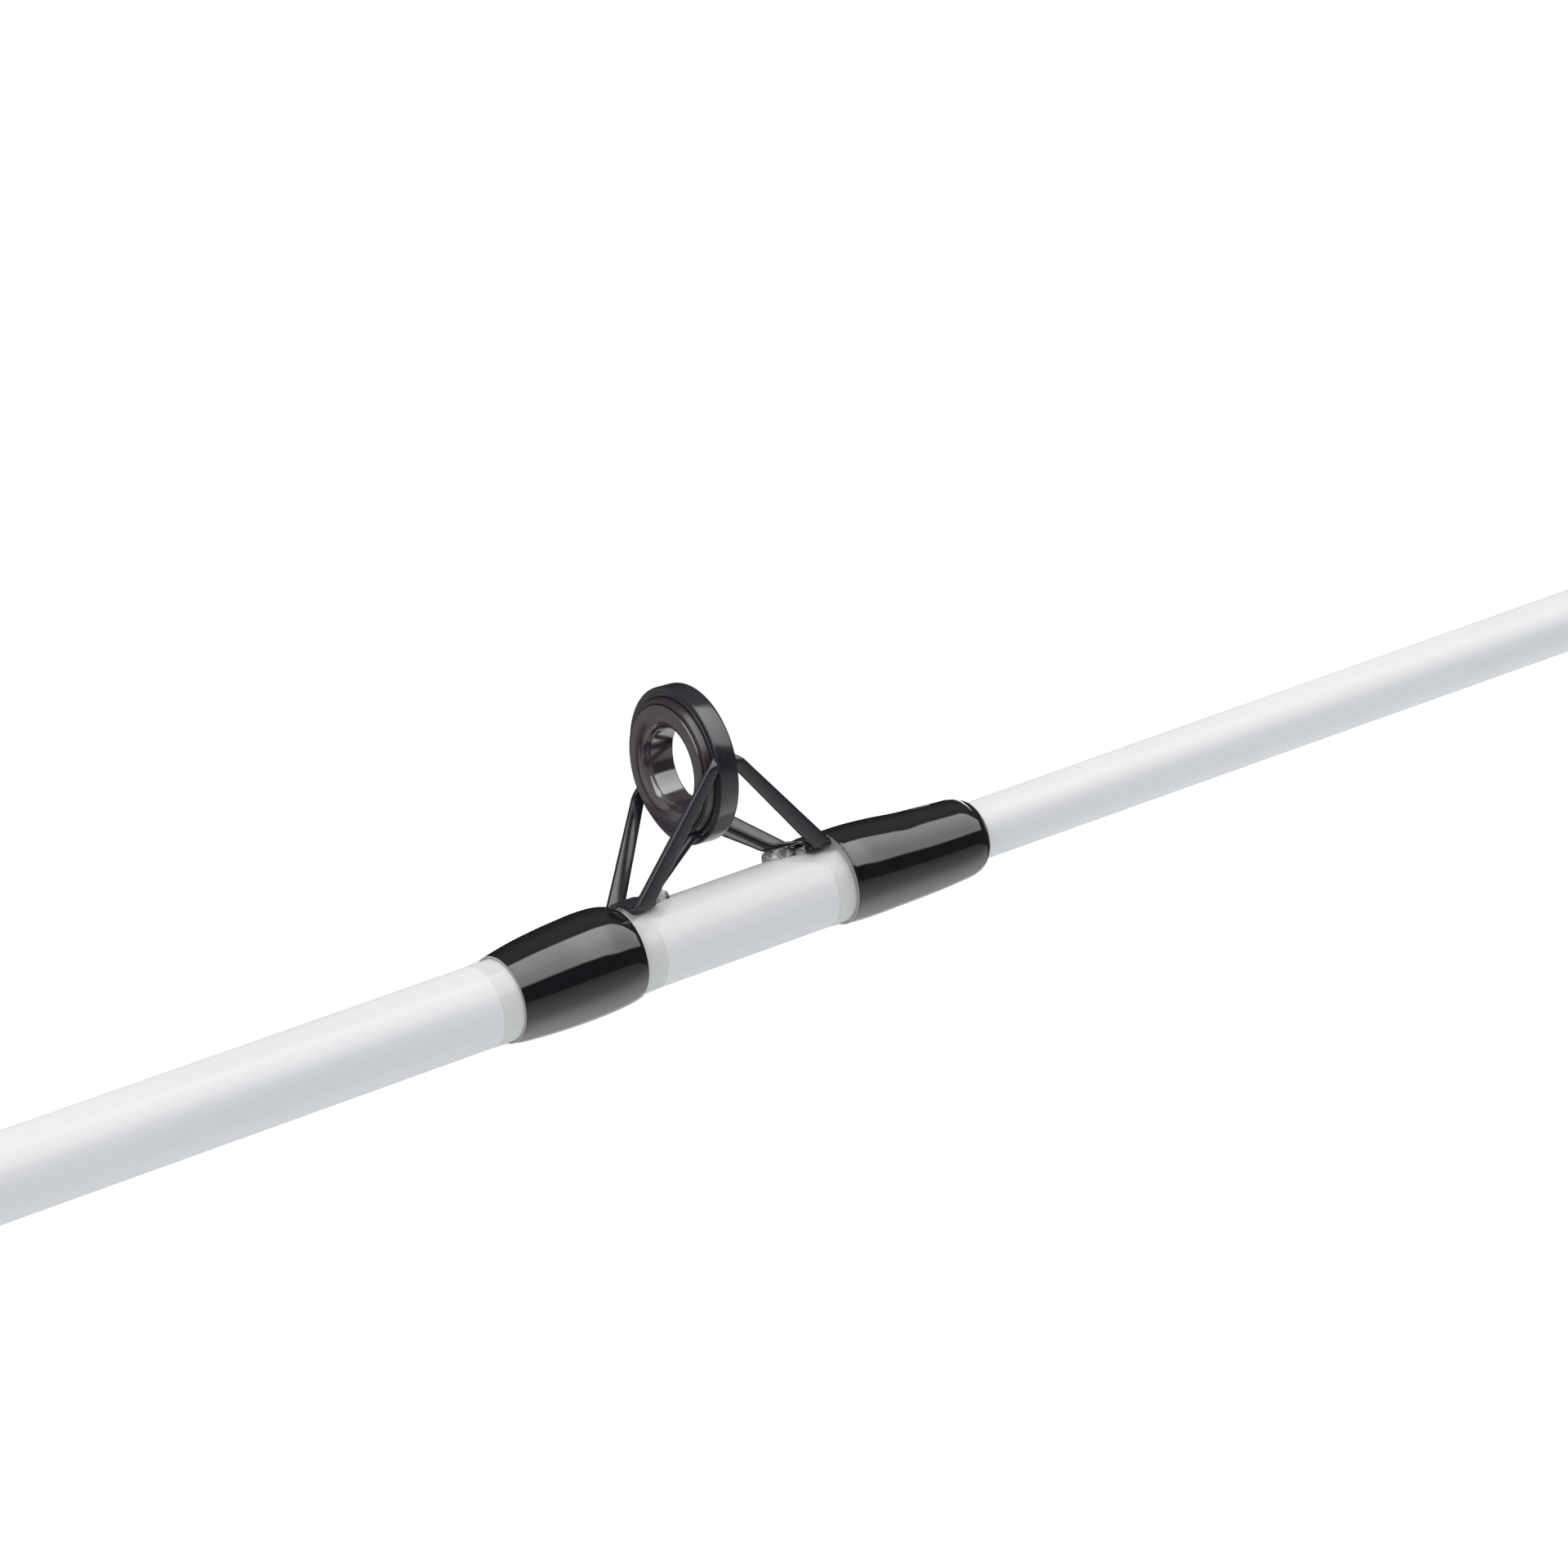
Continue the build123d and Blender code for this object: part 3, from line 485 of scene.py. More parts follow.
# ------------------------------------------------------------------ blanks
def butt_blank():
    """Tapered tube whose bore turns straight where the spigot goes in."""
    stations = [*np.linspace(BUTT_START, MOUTH - THINNED_LENGTH, 60),
                *np.linspace(MOUTH - 2.6, BUTT_END, 7)]
    socket_floor = SPIGOT_START - 0.3  # a little deeper than the spigot

    def bore(x):
        return SOCKET_RADIUS if x >= socket_floor else max(butt_radius(x) - BUTT_WALL, SOCKET_RADIUS)

    outline = [(x, butt_skin(x)) for x in stations] + [(x, bore(x)) for x in reversed(stations)]
    Shell().turn(outline).make(
        "butt_blank_tube", "butt_section", "white_blank", WHITE, ["butt_blank"])


def tip_blank():
    """Painted solid blank, and the ground spigot that goes into the ferrule."""
    stations = [MOUTH, *np.linspace(MOUTH + 1, TIP_END - 0.4, 60)]
    outline = [(x, tip_radius(x)) for x in stations]
    outline += [(TIP_END, TIP_END_OD / 2 - 0.3), (TIP_END, CENTRE_LINE), (MOUTH, CENTRE_LINE)]
    Shell().turn(outline, 72).make(
        "tip_blank_painted", "tip_section", "white_blank", WHITE, ["tip_blank"])
    outline = [(SPIGOT_START, CENTRE_LINE), (SPIGOT_START, SPIGOT_OD / 2 - 0.4),
               (SPIGOT_START + 0.6, SPIGOT_OD / 2), (MOUTH, SPIGOT_OD / 2), (MOUTH, CENTRE_LINE)]
    Shell().turn(outline, 72).make("tip_spigot_ground", "tip_section", "white_blank", SPIGOT)


# ------------------------------------------------------------------ guides
# Every guide has the proportions of the one at the ferrule, whose ceramic ring is size 16.
# Its outlines, steps and thicknesses are given in that guide's millimetres.
MODEL_RING = 16.0
CUSHION_REACH = 0.6  # from the ceramic's edge out to the shock ring's outside
COLLAR_REACH = 1.8  # and out to the collar's


class Guide:
    """Places of one guide; k scales the size 16 guide's proportions."""

    def __init__(self, name, body, radius, leaning=4.0):
        self.name = name
        self.body = body
        self.radius = radius
        self.centre = centre_of(f"{name}_shock_ring")
        low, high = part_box(f"{name}_shock_ring")
        self.size = (high.y - low.y) / MM / (1 + 2 * CUSHION_REACH / MODEL_RING)
        self.k = self.size / MODEL_RING
        self.surface = radius(self.centre.x)  # the blank's under the ring
        tilt = math.radians(leaning)
        self.axis = Vector((math.cos(tilt), 0, -math.sin(tilt)))
        self.collar_radius = self.size / 2 + COLLAR_REACH * self.k

    def x(self, step):
        """Station of a step along the rod from the ring's centre."""
        return self.centre.x + step * self.k

    def turned(self, shell, points, radii=0.0):
        """Turns an outline about the leaning ring's own axis."""
        outline = [(a * self.k, r * self.k) for a, r in soften(points, radii)]
        return shell.turn(outline, 128, self.centre, self.axis)


def ceramic_outline():
    """Flat butt-side face, a broad round to a crisp edge, a straight polished bore, a flat back."""
    front, bore, round_start, lip = -2.72, 4.80, 6.6, 1.85
    face = soften([(-1.5, 7.95), (-2.6, 7.82), (front, 7.66), (front, round_start)],
                  [0.1, 0.06, 0.06, 0], 5, closed=False)
    turn = [math.radians(a) for a in range(5, 61, 5)]
    broad = [(front + lip * (1 - math.cos(a)), round_start - lip * math.sin(a)) for a in turn]
    back = soften([(-1.62, bore), (1.62, bore), (1.62, 7.6), (1.2, 7.95)],
                  [0, 0.28, 0.3, 0.2], 5, closed=False)
    return face + broad + back


def ring_and_cushion(g):
    """The ceramic ring and the moulded shock ring that holds it in the collar."""
    g.turned(Shell(), ceramic_outline()).make(
        f"{g.name}_ceramic", g.body, "ceramic", CERAMIC, [f"{g.name}_ring"], 28)
    cushion = [(-1.45, 7.86), (-2.34, 7.86), (-2.42, 7.94), (-2.42, 8.28), (-2.30, 8.42), (-1.45, 8.6),
               (1.45, 8.6), (1.6, 8.3), (1.45, 8.05)]
    g.turned(Shell(), cushion, 0.2).make(
        f"{g.name}_cushion", g.body, "shock_ring", SHOCK, [f"{g.name}_shock_ring"], 60)


def pressed_collar(shell, g):
    """A flat outer band, a thin lip on the butt side and a rolled back edge."""
    outline = [
        (-1.30, 8.62), (-1.52, 8.66), (-1.52, 9.02), (-1.41, 9.08), (-1.41, 9.78),
        (1.10, 9.78), (1.42, 9.56), (1.42, 8.95), (1.20, 8.62),
    ]
    g.turned(shell, outline, [0.1, 0.06, 0.06, 0.06, 0.26, 0.25, 0.25, 0.2, 0.2])


def rounded_path(points, radius, steps, fill):
    """A path with rounded bends, and stations about fill apart along its straights."""
    pts = soften(points, radius, steps, closed=False)
    out = [pts[0]]
    for a, b in zip(pts, pts[1:]):
        parts = max(1, int(np.linalg.norm(b - a) / fill))
        out += [a + (b - a) * (i + 1) / parts for i in range(parts)]
    return out


def along(path, values):
    """Values spread along a path by length; values are (share, value) points."""
    steps = [0.0] + [float(np.linalg.norm(b - a)) for a, b in zip(path, path[1:])]
    share = np.cumsum(steps) / sum(steps)
    return np.interp(share, *np.array(values, float).T)


# Key -1 is a guide's butt side and 1 its tip side; a step runs outwards from the ring.
LEG_TOP = {-1: 1.9, 1: 1.3}
LEG_WIDTH = {-1: 2.95, 1: 2.75}
SADDLE = {-1: 14.6, 1: 12.3}  # step of the legs' feet on the blank
ROOT = {-1: 0.75, 1: 0.95}  # height of a strut in the collar's wall
BEND = {-1: (2.7, 1.25), 1: (1.7, 1.05)}  # where it turns down: step, height over the wall's bottom
NOSE = {-1: 9.6, 1: 6.9}  # step of a foot's inner end, where the strut meets it
HEEL = {-1: 11.2, 1: 9.8}  # step where the foot comes down on the blank
TOE = {-1: 32.0, 1: 29.8}
WRAP_FAR = {-1: 35.5, 1: 34.1}
WRAP_NEAR = {-1: 17.3, 1: 14.0}
POOL_START = {-1: 8.7, 1: 6.2}
POOL_END = {-1: 17.2, 1: 13.9}
POOL_DEPTH = {-1: 0.95, 1: 1.15}


def legs_and_saddle(shell, g, end):
    """One strip: down a leg, over the blank as the saddle, and up the other leg."""
    k = g.k
    arch = g.surface + 0.85 * k
    top = g.centre.z - 1.6 * k
    half = []
    for angle in np.linspace(38, 0, 7):
        a = math.radians(angle)
        half.append((g.x(end * SADDLE[end]), arch * math.sin(a), arch * math.cos(a)))
    # each leg's head runs up into the collar's wall, under the band
    head = (g.x(end * LEG_TOP[end]), g.collar_radius - 0.60 * k, top)
    wall = (g.x(end * (LEG_TOP[end] - 1.1)), g.collar_radius - 0.98 * k, top + 1.1 * k)
    side = [wall, head] + half
    points = side + [(x, -y, z) for x, y, z in reversed(side[:-1])]
    radii = [0, 0.6 * k, 0.75 * k] + [0] * (len(points) - 6) + [0.75 * k, 0.6 * k, 0]
    path = rounded_path(points, radii, 6, 1.0 * k)
    head_share, foot_share = 0.04, 0.41
    wide = LEG_WIDTH[end]
    widths = along(path, [(0, 1.4), (head_share, 2.1), (foot_share, wide),
                          (1 - foot_share, wide), (1 - head_share, 2.1), (1, 1.4)])
    thicks = along(path, [(0, 0.7), (foot_share, 0.9), (1 - foot_share, 0.9), (1, 0.7)])
    shell.strip(path, widths * k, thicks * k, X_AXIS, 0.26 * k, 0.08 * k)


def strut_and_foot(shell, g, end):
    """From the collar's wall down to the foot's inner end, then out under the wrap."""
    k = g.k
    raised = g.surface + 1.30 * k
    toe = g.x(end * TOE[end])
    bottom = g.centre.z - g.collar_radius
    path = rounded_path([
        (g.x(end * 0.7), 0, bottom + ROOT[end] * k),
        (g.x(end * BEND[end][0]), 0, bottom + BEND[end][1] * k),
        (g.x(end * (NOSE[end] + 0.3)), 0, raised),
        (g.x(end * (HEEL[end] - 1.6)), 0, raised),
        (g.x(end * (HEEL[end] + 1.8)), 0, g.surface + 0.45 * k),
        (toe, 0, g.radius(toe) - 0.12 * k),
    ], [0, 0.8 * k, 0.9 * k, 0.5 * k, 1.0 * k, 0], 6, 0.9 * k)
    widths = along(path, [(0, 2.8), (0.08, 2.4), (0.2, 2.0), (0.28, 2.4), (0.42, 3.4), (1, 3.0)])
    thicks = along(path, [(0, 0.9), (0.22, 0.85), (0.3, 0.65), (0.5, 0.7), (1, 0.3)])
    shell.strip(path, widths * k, thicks * k, Y_AXIS, 0.26 * k, 0.06 * k)


def guide_frame(g):
    """One steel pressing: the collar, and on each side of it legs, a strut and a foot."""
    shell = Shell()
    pressed_collar(shell, g)
    for end in (-1, 1):
        legs_and_saddle(shell, g, end)
        strut_and_foot(shell, g, end)
    shell.make(f"{g.name}_pressed_frame", g.body, "guide_steel", STEEL, [f"{g.name}_frame"], 45)


# ------------------------------------------------------------------ wraps and resin
# Thread and resin on the blank as (share of the wrap's length, thickness), below it and on
# top, over the foot. A guide's usual wrap is given from its far end towards the ring, the
# one at the ferrule from its ring end outwards.
WRAP_UNDER = [(0, 0.34), (0.08, 0.57), (0.2, 0.75), (0.35, 0.89), (0.53, 0.96), (0.75, 0.90), (0.88, 0.76),
              (0.95, 0.62), (1, 0.44)]
WRAP_OVER = [(0, 0.36), (0.08, 0.63), (0.2, 1.00), (0.4, 1.42), (0.6, 1.70), (0.78, 1.83), (0.87, 1.76),
             (0.94, 1.54), (1, 1.16)]
FERRULE_UNDER = [(0, 0.37), (0.15, 0.52), (0.45, 0.51), (0.7, 0.44), (0.85, 0.36), (1, 0.20)]
FERRULE_OVER = [(0, 1.30), (0.2, 1.24), (0.45, 0.86), (0.62, 0.48), (0.8, 0.22), (1, -0.04)]


def wrap_shell(g, first, last, under, over, nose=None, bore=None, around=96):
    """Barrel of wound thread from one station to another, thicker on top where the foot lies.

    nose closes its last end with other points of (station, radius, rise on top); bore is
    the radius that it sits on, by station.
    """
    shares = np.linspace(0, 1, 41)
    stations = [first + (last - first) * s for s in shares]
    low, high = smooth_table(under, shares) * g.k, smooth_table(over, shares) * g.k
    outline = [(x, g.radius(x) + u, o - u) for x, u, o in zip(stations, low, high)]
    # both ends are eased over a short step
    step = 0.14 * g.k * math.copysign(1, last - first)
    x, r, rise = outline[0]
    outline[0:1] = [(x, r - 0.16 * g.k, rise), (x + 0.3 * step, r - 0.05 * g.k, rise), (x + step, r, rise)]
    if nose:
        outline += nose
    else:
        x, r, rise = outline[-1]
        outline[-1:] = [(x - step, r, rise), (x - 0.3 * step, r - 0.05 * g.k, rise),
                        (x, r - 0.14 * g.k, rise)]
    inside = [(x, (bore or g.radius)(x) - 0.02, 0.0) for x, _, _ in (outline[-1], outline[0])]
    rises = {(x, r): rise for x, r, rise in outline + inside}

    def eccentric(x, r, angle):
        return r + rises[(x, r)] * math.cos(angle / 2) ** 2

    return Shell().turn([(x, r) for x, r, _ in outline + inside], around, sweep=eccentric)


FILM = 0.035  # least thickness of a resin film
SUNK = 0.03  # how far its edges and its underside lie in the blank


def on_blank(x, angle, radius):
    """Point at an angle from the top round the rod's axis."""
    return (x, radius * math.sin(angle), radius * math.cos(angle))


def resin_collar(shell, g, start, step, low, high, reach=0.0):
    """Clear resin that runs off a wrap's end and thins out on the blank over step.

    low and high are its thickness at the wrap, below and on top. On top, round the foot,
    a tongue of thin film runs on for the length reach.
    """
    # from the top, the tongue is whole up to the first angle and gone at the second
    tongue, narrowed = math.radians(22), math.radians(74)
    way = math.copysign(1, step)
    step = abs(step)
    outside = [(s, False) for s in (*np.linspace(0, 0.95, 22), 1.0)]
    rings = []
    for s, under in outside + [(1.0, True), (0.0, True)]:
        loop = []
        for a in np.linspace(-math.pi, math.pi, 120, endpoint=False):
            t = np.clip((narrowed - abs(a)) / (narrowed - tongue), 0, 1)
            length = step + max(0.0, reach - step) * t * t * (3 - 2 * t)
            fade = max(0.0, 1 - length * s / step) ** 1.7
            x = start + way * length * s
            lift = (low + (high - low) * math.cos(a / 2) ** 2) * fade * g.k
            lift = -SUNK if under else lift + (FILM if s < 1 else -SUNK) * g.k
            loop.append(on_blank(x, a, g.radius(x) + lift))
        rings.append(loop)
    return shell.skin(rings, closed=True)


def resin_pool(shell, g, start, end, depth):
    """Resin that fills the space between a foot and the blank, with a hollow edge all round.

    It widens from its start, under the foot's inner end, to its end inside the wrap.
    """
    k = g.k
    narrow, wide = 20, 52  # half of its angle round the blank at its start and its end
    blunt = 0.10  # share of its length over which it rises to its full depth
    film = 0.05
    stations = np.concatenate([
        start + (end - start) * blunt * np.linspace(0, 1, 8) ** 1.5,
        np.linspace(start + (end - start) * 0.14, end, 18),
    ])
    rings = []
    for x in stations:
        s = abs(x - start) / abs(end - start)
        rise = min(1.0, s / blunt) ** 0.45
        fall = 1.0 - 0.45 * s**3
        half = math.radians(narrow + (wide - narrow) * s**1.6) * (0.55 + 0.45 * rise)
        flat = min(math.asin(min(0.9, 1.5 * k / g.surface)), half * 0.7)
        top, bottom = [], []
        for t in np.linspace(-1, 1, 33):
            a = t * half
            edge = np.clip((abs(a) - flat) / (half - flat), 0, 1)
            lift = depth * k * rise * fall * (1 - edge) ** 1.9
            lift += film * k if abs(t) < 1 and s > 0 else -SUNK * k
            top.append(on_blank(x, a, g.radius(x) + lift))
            bottom.append(on_blank(x, a, g.radius(x) - SUNK))
        rings.append(top + bottom[::-1])
    return shell.skin(rings)


def foot_pools(g):
    """The resin under both feet of a guide."""
    pools = Shell()
    for end in (-1, 1):
        resin_pool(pools, g, g.x(end * POOL_START[end]), g.x(end * POOL_END[end]), POOL_DEPTH[end])
    # the pools' material paints the foot's shade and glints into the resin
    pools.make(f"{g.name}_resin_pools", g.body, "clear_resin", POOL_PAINTED_SHADE, (), 60)


def ferrule_guide(g):
    """The guide beside the ferrule: its front wrap also binds the butt blank's mouth."""
    rear_near = 17.4
    front_far = 31.7  # where the nose begins

    def bore(x):
        return butt_radius(x) if x < MOUTH - 0.5 else SOCKET_RADIUS + 0.02

    guide_frame(g)
    ring_and_cushion(g)
    wrap_shell(g, g.x(-WRAP_FAR[-1]), g.x(-rear_near), WRAP_UNDER, WRAP_OVER).make(
        f"{g.name}_rear_wrap", g.body, "black_wrap", THREAD, [f"{g.name}_wrap"], 60)
    wrap_shell(g, g.x(WRAP_NEAR[1]), g.x(front_far), FERRULE_UNDER, FERRULE_OVER, ferrule_nose(g), bore).make(
        "ferrule_front_wrap", g.body, "black_wrap", THREAD, ["ferrule_wrap"], 60)
    coat = Shell()
    resin_collar(coat, g, g.x(-WRAP_FAR[-1]), -3.1, 0.34, 0.36)
    resin_collar(coat, g, g.x(-rear_near), 3.4, 0.44, 1.0, 8.3)
    resin_collar(coat, g, g.x(WRAP_NEAR[1]), -2.6, 0.40, 1.1, 7.8)
    coat.make(f"{g.name}_resin", g.body, "clear_resin", RESIN, [f"{g.name}_coats"], 60)
    foot_pools(g)
    beads = Shell()
    for end, lateral, step, drop in ((-1, -1, 13.2, 0.35), (1, -1, 11.4, 0.15), (1, -1, 9.6, 0.9)):
        leg_bead(beads, g, end, lateral, step, drop)
    beads.make(f"{g.name}_resin_beads", g.body, "clear_resin", THREAD, (), 60)


def leg_bead(shell, g, end, lateral, step, drop):
    """A lump of resin over the black frame, where a leg meets the blank.

    end and lateral say which leg; drop is how far it sits towards the foot, from 0 to 1.
    """
    k = g.k
    angle = math.radians(37 - 20 * drop)
    arch = g.surface + (0.55 + 0.35 * drop) * k
    centre = Vector((g.x(end * step), lateral * arch * math.sin(angle), arch * math.cos(angle)))
    size = Vector((1.35, 0.75, 0.55)) * k * (1 - 0.25 * drop)  # along, round and off the blank
    out = Vector((0, centre.y, centre.z)).normalized()
    side = X_AXIS.cross(out)
    rings = []
    for i in range(1, 12):
        polar = math.pi * i / 12
        loop = []
        for j in range(20):
            turn = 2 * math.pi * j / 20
            lump = 1 + 0.10 * math.sin(3 * turn + 2 * polar + step) + 0.06 * math.sin(5 * polar - turn)
            loop.append(centre + lump * (
                X_AXIS * (size.x * math.sin(polar) * math.cos(turn))
                + side * (size.y * math.sin(polar) * math.sin(turn))
                + out * (size.z * math.cos(polar))))
        rings.append(loop)
    shell.skin(rings)


def ferrule_nose(g):
    """Rounded end of the front wrap, closing in over the ferrule mouth to the tip blank.

    Its points are (step, radius, rise on top).
    """
    steps = [(32.5, 5.06, -0.24), (33.2, 4.94, -0.27), (33.8, 4.77, -0.28), (34.3, 4.52, -0.26),
             (34.68, 4.20, -0.18), (34.84, 3.92, -0.06), (34.78, 3.72, 0.0)]
    return [(g.x(step), r, rise) for step, r, rise in steps]


def plain_guide(g, wraps_node=None):
    """A guide with two wraps of its own; wraps_node is the CAD node that they replace."""
    guide_frame(g)
    ring_and_cushion(g)
    for end, place in ((-1, "rear"), (1, "front")):
        far, near = g.x(end * WRAP_FAR[end]), g.x(end * WRAP_NEAR[end])
        wrap_shell(g, far, near, WRAP_UNDER, WRAP_OVER, around=72).make(
            f"{g.name}_{place}_thread", g.body, "black_wrap", THREAD,
            [wraps_node] if wraps_node and end < 0 else (), 60)
    coat = Shell()
    for end in (-1, 1):
        resin_collar(coat, g, g.x(end * WRAP_FAR[end]), end * 2.6 * g.k, 0.34, 0.36)
    resin_collar(coat, g, g.x(-WRAP_NEAR[-1]), 2.8 * g.k, 0.56, 1.2, 8.2 * g.k)
    resin_collar(coat, g, g.x(WRAP_NEAR[1]), -2.6 * g.k, 0.56, 1.2, 7.8 * g.k)
    coat.make(f"{g.name}_resin", g.body, "clear_resin", RESIN, (), 60)
    foot_pools(g)


# ------------------------------------------------------------------ tip ring
def tip_top():
    """Ring in a collar on two arms, on a tube that caps the tip, with its thread wrap."""
    g = Guide("tip_top", "tip_section", tip_radius, 5.0)
    ring_and_cushion(g)
    shell = Shell()
    pressed_collar(shell, g)
    start, end = TIP_END - 14.0, TIP_END + 1.4
    bore = tip_radius(start)
    nose_bore = bore - 0.35
    tube = soften([(start, bore + 0.02), (start, bore + 0.5), (end, bore + 0.45), (end, nose_bore),
                   (TIP_END, nose_bore)], [0, 0.25, 0.25, 0.1, 0])
    shell.turn(tube, 48)
    for side in (-1, 1):
        root = Vector((start + 1.6, side * (bore + 0.25), 0))
        head = g.centre + Vector((0, side * (g.collar_radius - 0.35 * g.k), 0))
        bend = (root + head) / 2 + Vector((0, side * 0.25, 0))
        path = rounded_path([root, bend, head], 2.0, 5, 1.0)
        shell.strip(path, [1.6] * len(path), [0.6] * len(path), (0, 0, 1), 0.25)
    shell.make("tip_top_pressed_frame", g.body, "guide_steel", STEEL, ["tip_top_frame"], 45)
    near, far = start - 10.0, start + 0.05
    wrap = soften([(near, tip_radius(near)), (near + 1.0, tip_radius(near) + 0.36),
                   (start - 1.2, bore + 0.6), (far, bore + 0.42), (far, bore - 0.02)],
                  [0, 0.8, 0.8, 0.2, 0])
    Shell().turn(wrap, 64).make(
        "tip_top_thread", g.body, "black_wrap", THREAD, ["tip_top_wrap"], 60)


# ------------------------------------------------------------------ handle
def foam_grip(node, table):
    """Turned foam with a swelling outline; the table holds (share of its length, radius)."""
    start, end = span(node)
    shares = np.linspace(0, 1, 61)
    outer = [(start + (end - start) * s, r) for s, r in zip(shares, smooth_table(table, shares))]
    outline = [(start, butt_radius(start))] + outer + [(end, butt_radius(end))]
    rounding = [0, 1.4] + [0] * (len(outer) - 2) + [1.4, 0]
    Shell().turn(soften(outline, rounding, 6)).make(
        f"{node}_foam", "butt_section", "foam_grip", FOAM, [node], 50)


def seat_trim_ring():
    """Bright ring with one turned groove, between rear grip and seat."""
    start, end = span("seat_ring")
    r, bore, groove = 13.5, 7.0, 13.1
    outline = [(start, bore), (start, r), (start + 1.6, r), (start + 1.9, groove), (start + 2.6, groove),
               (start + 2.9, r), (end, r), (end, bore)]
    Shell().turn(soften(outline, [0, 0.35, 0.15, 0.15, 0.15, 0.15, 0.35, 0], 3), 128).make(
        "seat_trim_ring", "butt_section", "trim_metal", METAL, ["seat_ring"], 35)


def winding_check():
    """Bright ring that tapers from the foregrip down to the blank, with one groove."""
    start, end = span("winding_check")
    r, bore, groove = 9.0, 6.2, 8.7
    outline = [(start, bore), (start, r), (start + 2.6, r), (start + 3.0, groove), (start + 3.4, groove),
               (end - 0.4, 7.75), (end, 7.3), (end, bore)]
    Shell().turn(soften(outline, [0, 0.4, 0.3, 0.15, 0.15, 0.4, 0.3, 0]), 128).make(
        "winding_check_ring", "butt_section", "trim_metal", METAL, ["winding_check"], 35)


def trim_wrap():
    """Thread ahead of the winding check, running out on the blank."""
    start, end = span("trim_wrap")
    outline = [(start, butt_radius(start) - 0.02), (start, butt_radius(start) + 0.55),
               (start + 2.5, butt_radius(start) + 0.6), (end - 3.2, butt_radius(end) + 0.6),
               (end, butt_radius(end) + 0.06), (end, butt_radius(end) - 0.02)]
    Shell().turn(soften(outline, [0, 0.5, 1.0, 2.4, 0, 0], 6)).make(
        "foregrip_thread", "butt_section", "black_wrap", THREAD, ["trim_wrap"], 60)


def seat_barrel():
    """Threaded barrel with its flat foot bed on top and its keyway underneath."""
    start, end = span("seat_barrel")
    radius, bore, chamfer = 12.3, 9.0, 0.3
    bed_start, bed_end, bed_height = start + 9.0, start + 85.0, 11.0
    key_start, key_half, key_floor = start + 26.0, 1.55, 11.1
    thread_start, thread_end, pitch, depth = start + 37.0, end - 3.0, 2.0, 0.62
    run_out = 2.0  # over which the thread fades at both its ends

    def profile(x, r, angle):
        if r < 10:  # the bore stays round
            return r
        a = (angle + math.pi) % (2 * math.pi) - math.pi
        if thread_start <= x <= thread_end:
            turn = (x / pitch + a / (2 * math.pi)) % 1.0
            groove = min(1.0, max(0.0, 1.35 - 3.2 * abs(turn - 0.5)))
            fade = min(1.0, (x - thread_start) / run_out, (thread_end - x) / run_out)
            r -= depth * groove * max(0.0, fade)
        if bed_start <= x <= bed_end and math.cos(a) > 0:
            r = min(r, bed_height / math.cos(a))
        if x > key_start and math.cos(a) < 0 and abs(radius * math.sin(a)) < key_half:
            r = min(r, key_floor)
        return r

    stations = [start, start + 0.35, *np.arange(start + 1, thread_start, 1.0),
                *np.arange(thread_start, thread_end, 0.25), thread_end, end - 0.35, end,
                bed_start - 0.01, bed_start, bed_end, bed_end + 0.01]
    stations = sorted({round(x, 4) for x in stations})
    outline = [(x, radius - (chamfer if x in (start, end) else 0)) for x in stations]
    Shell().turn([(start, bore)] + outline + [(end, bore)], 144, sweep=profile).make(
        "seat_barrel_threaded", "butt_section", "seat_nylon", NYLON, ["seat_barrel"], 28)


def fluted_nut(node, depth):
    """Grip nut with 18 flutes of a given depth that stop short of its eased ends."""
    start, end = span(node)
    low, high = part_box(node)
    outer = (high.z - low.z) / 2 / MM
    bore, flutes = 12.36, 18

    def fluted(x, r, angle):
        if r < outer - 1.5:
            return r
        wave = max(0.0, math.cos(flutes * angle) - 0.1) / 0.9
        inset = min(1.0, max(0.0, (x - start - 0.9) / 1.2), max(0.0, (end - x - 0.9) / 1.2))
        return r - depth * wave * inset

    edge = soften([(start, bore), (start, outer - 1.0), (start + 1.0, outer), (end - 1.0, outer),
                   (end, outer - 1.0), (end, bore)], [0, 0.4, 0.7, 0.7, 0.4, 0])
    outline = []
    for (x0, r0), (x1, r1) in zip(edge, edge[1:] + edge[:1]):
        # the outside gets stations all along, so that the flutes can shape it
        parts = max(1, int(abs(x1 - x0) / 0.6)) if min(r0, r1) > bore + 1 else 1
        outline += [(x0 + (x1 - x0) * i / parts, r0 + (r1 - r0) * i / parts) for i in range(parts)]
    Shell().turn(outline, 216, sweep=fluted).make(
        f"{node}_fluted", node, "nut_nylon", NYLON, [node], 40)


def butt_cap():
    """Moulded rubber cap with a ring groove in its end and four grip grooves round it."""
    start, end = span("butt_cap")
    r, bore, floor = 15.0, 12.1, start + 4.0
    groove_start, groove_pitch, groove_floor = start + 14.0, 4.2, 14.3
    outline = [(start, CENTRE_LINE), (start, 9.0), (start + 0.6, 9.6), (start + 0.6, 10.4), (start, 11.0),
               (start, r - 2.2), (start + 2.2, r)]
    rounding = [0, 0.3, 0.3, 0.3, 0.3, 1.6, 1.6]
    for i in range(4):
        x = groove_start + groove_pitch * i
        outline += [(x, r), (x + 0.5, groove_floor), (x + 1.5, groove_floor), (x + 2.0, r)]
        rounding += [0.35] * 4
    outline += [(end, r), (end, bore), (floor, bore), (floor, CENTRE_LINE)]
    rounding += [0.9, 0.4, 0.3, 0]
    Shell().turn(soften(outline, rounding)).make(
        "butt_cap_rubber", "butt_cap", "rubber_cap", RUBBER, ["butt_cap"], 45)


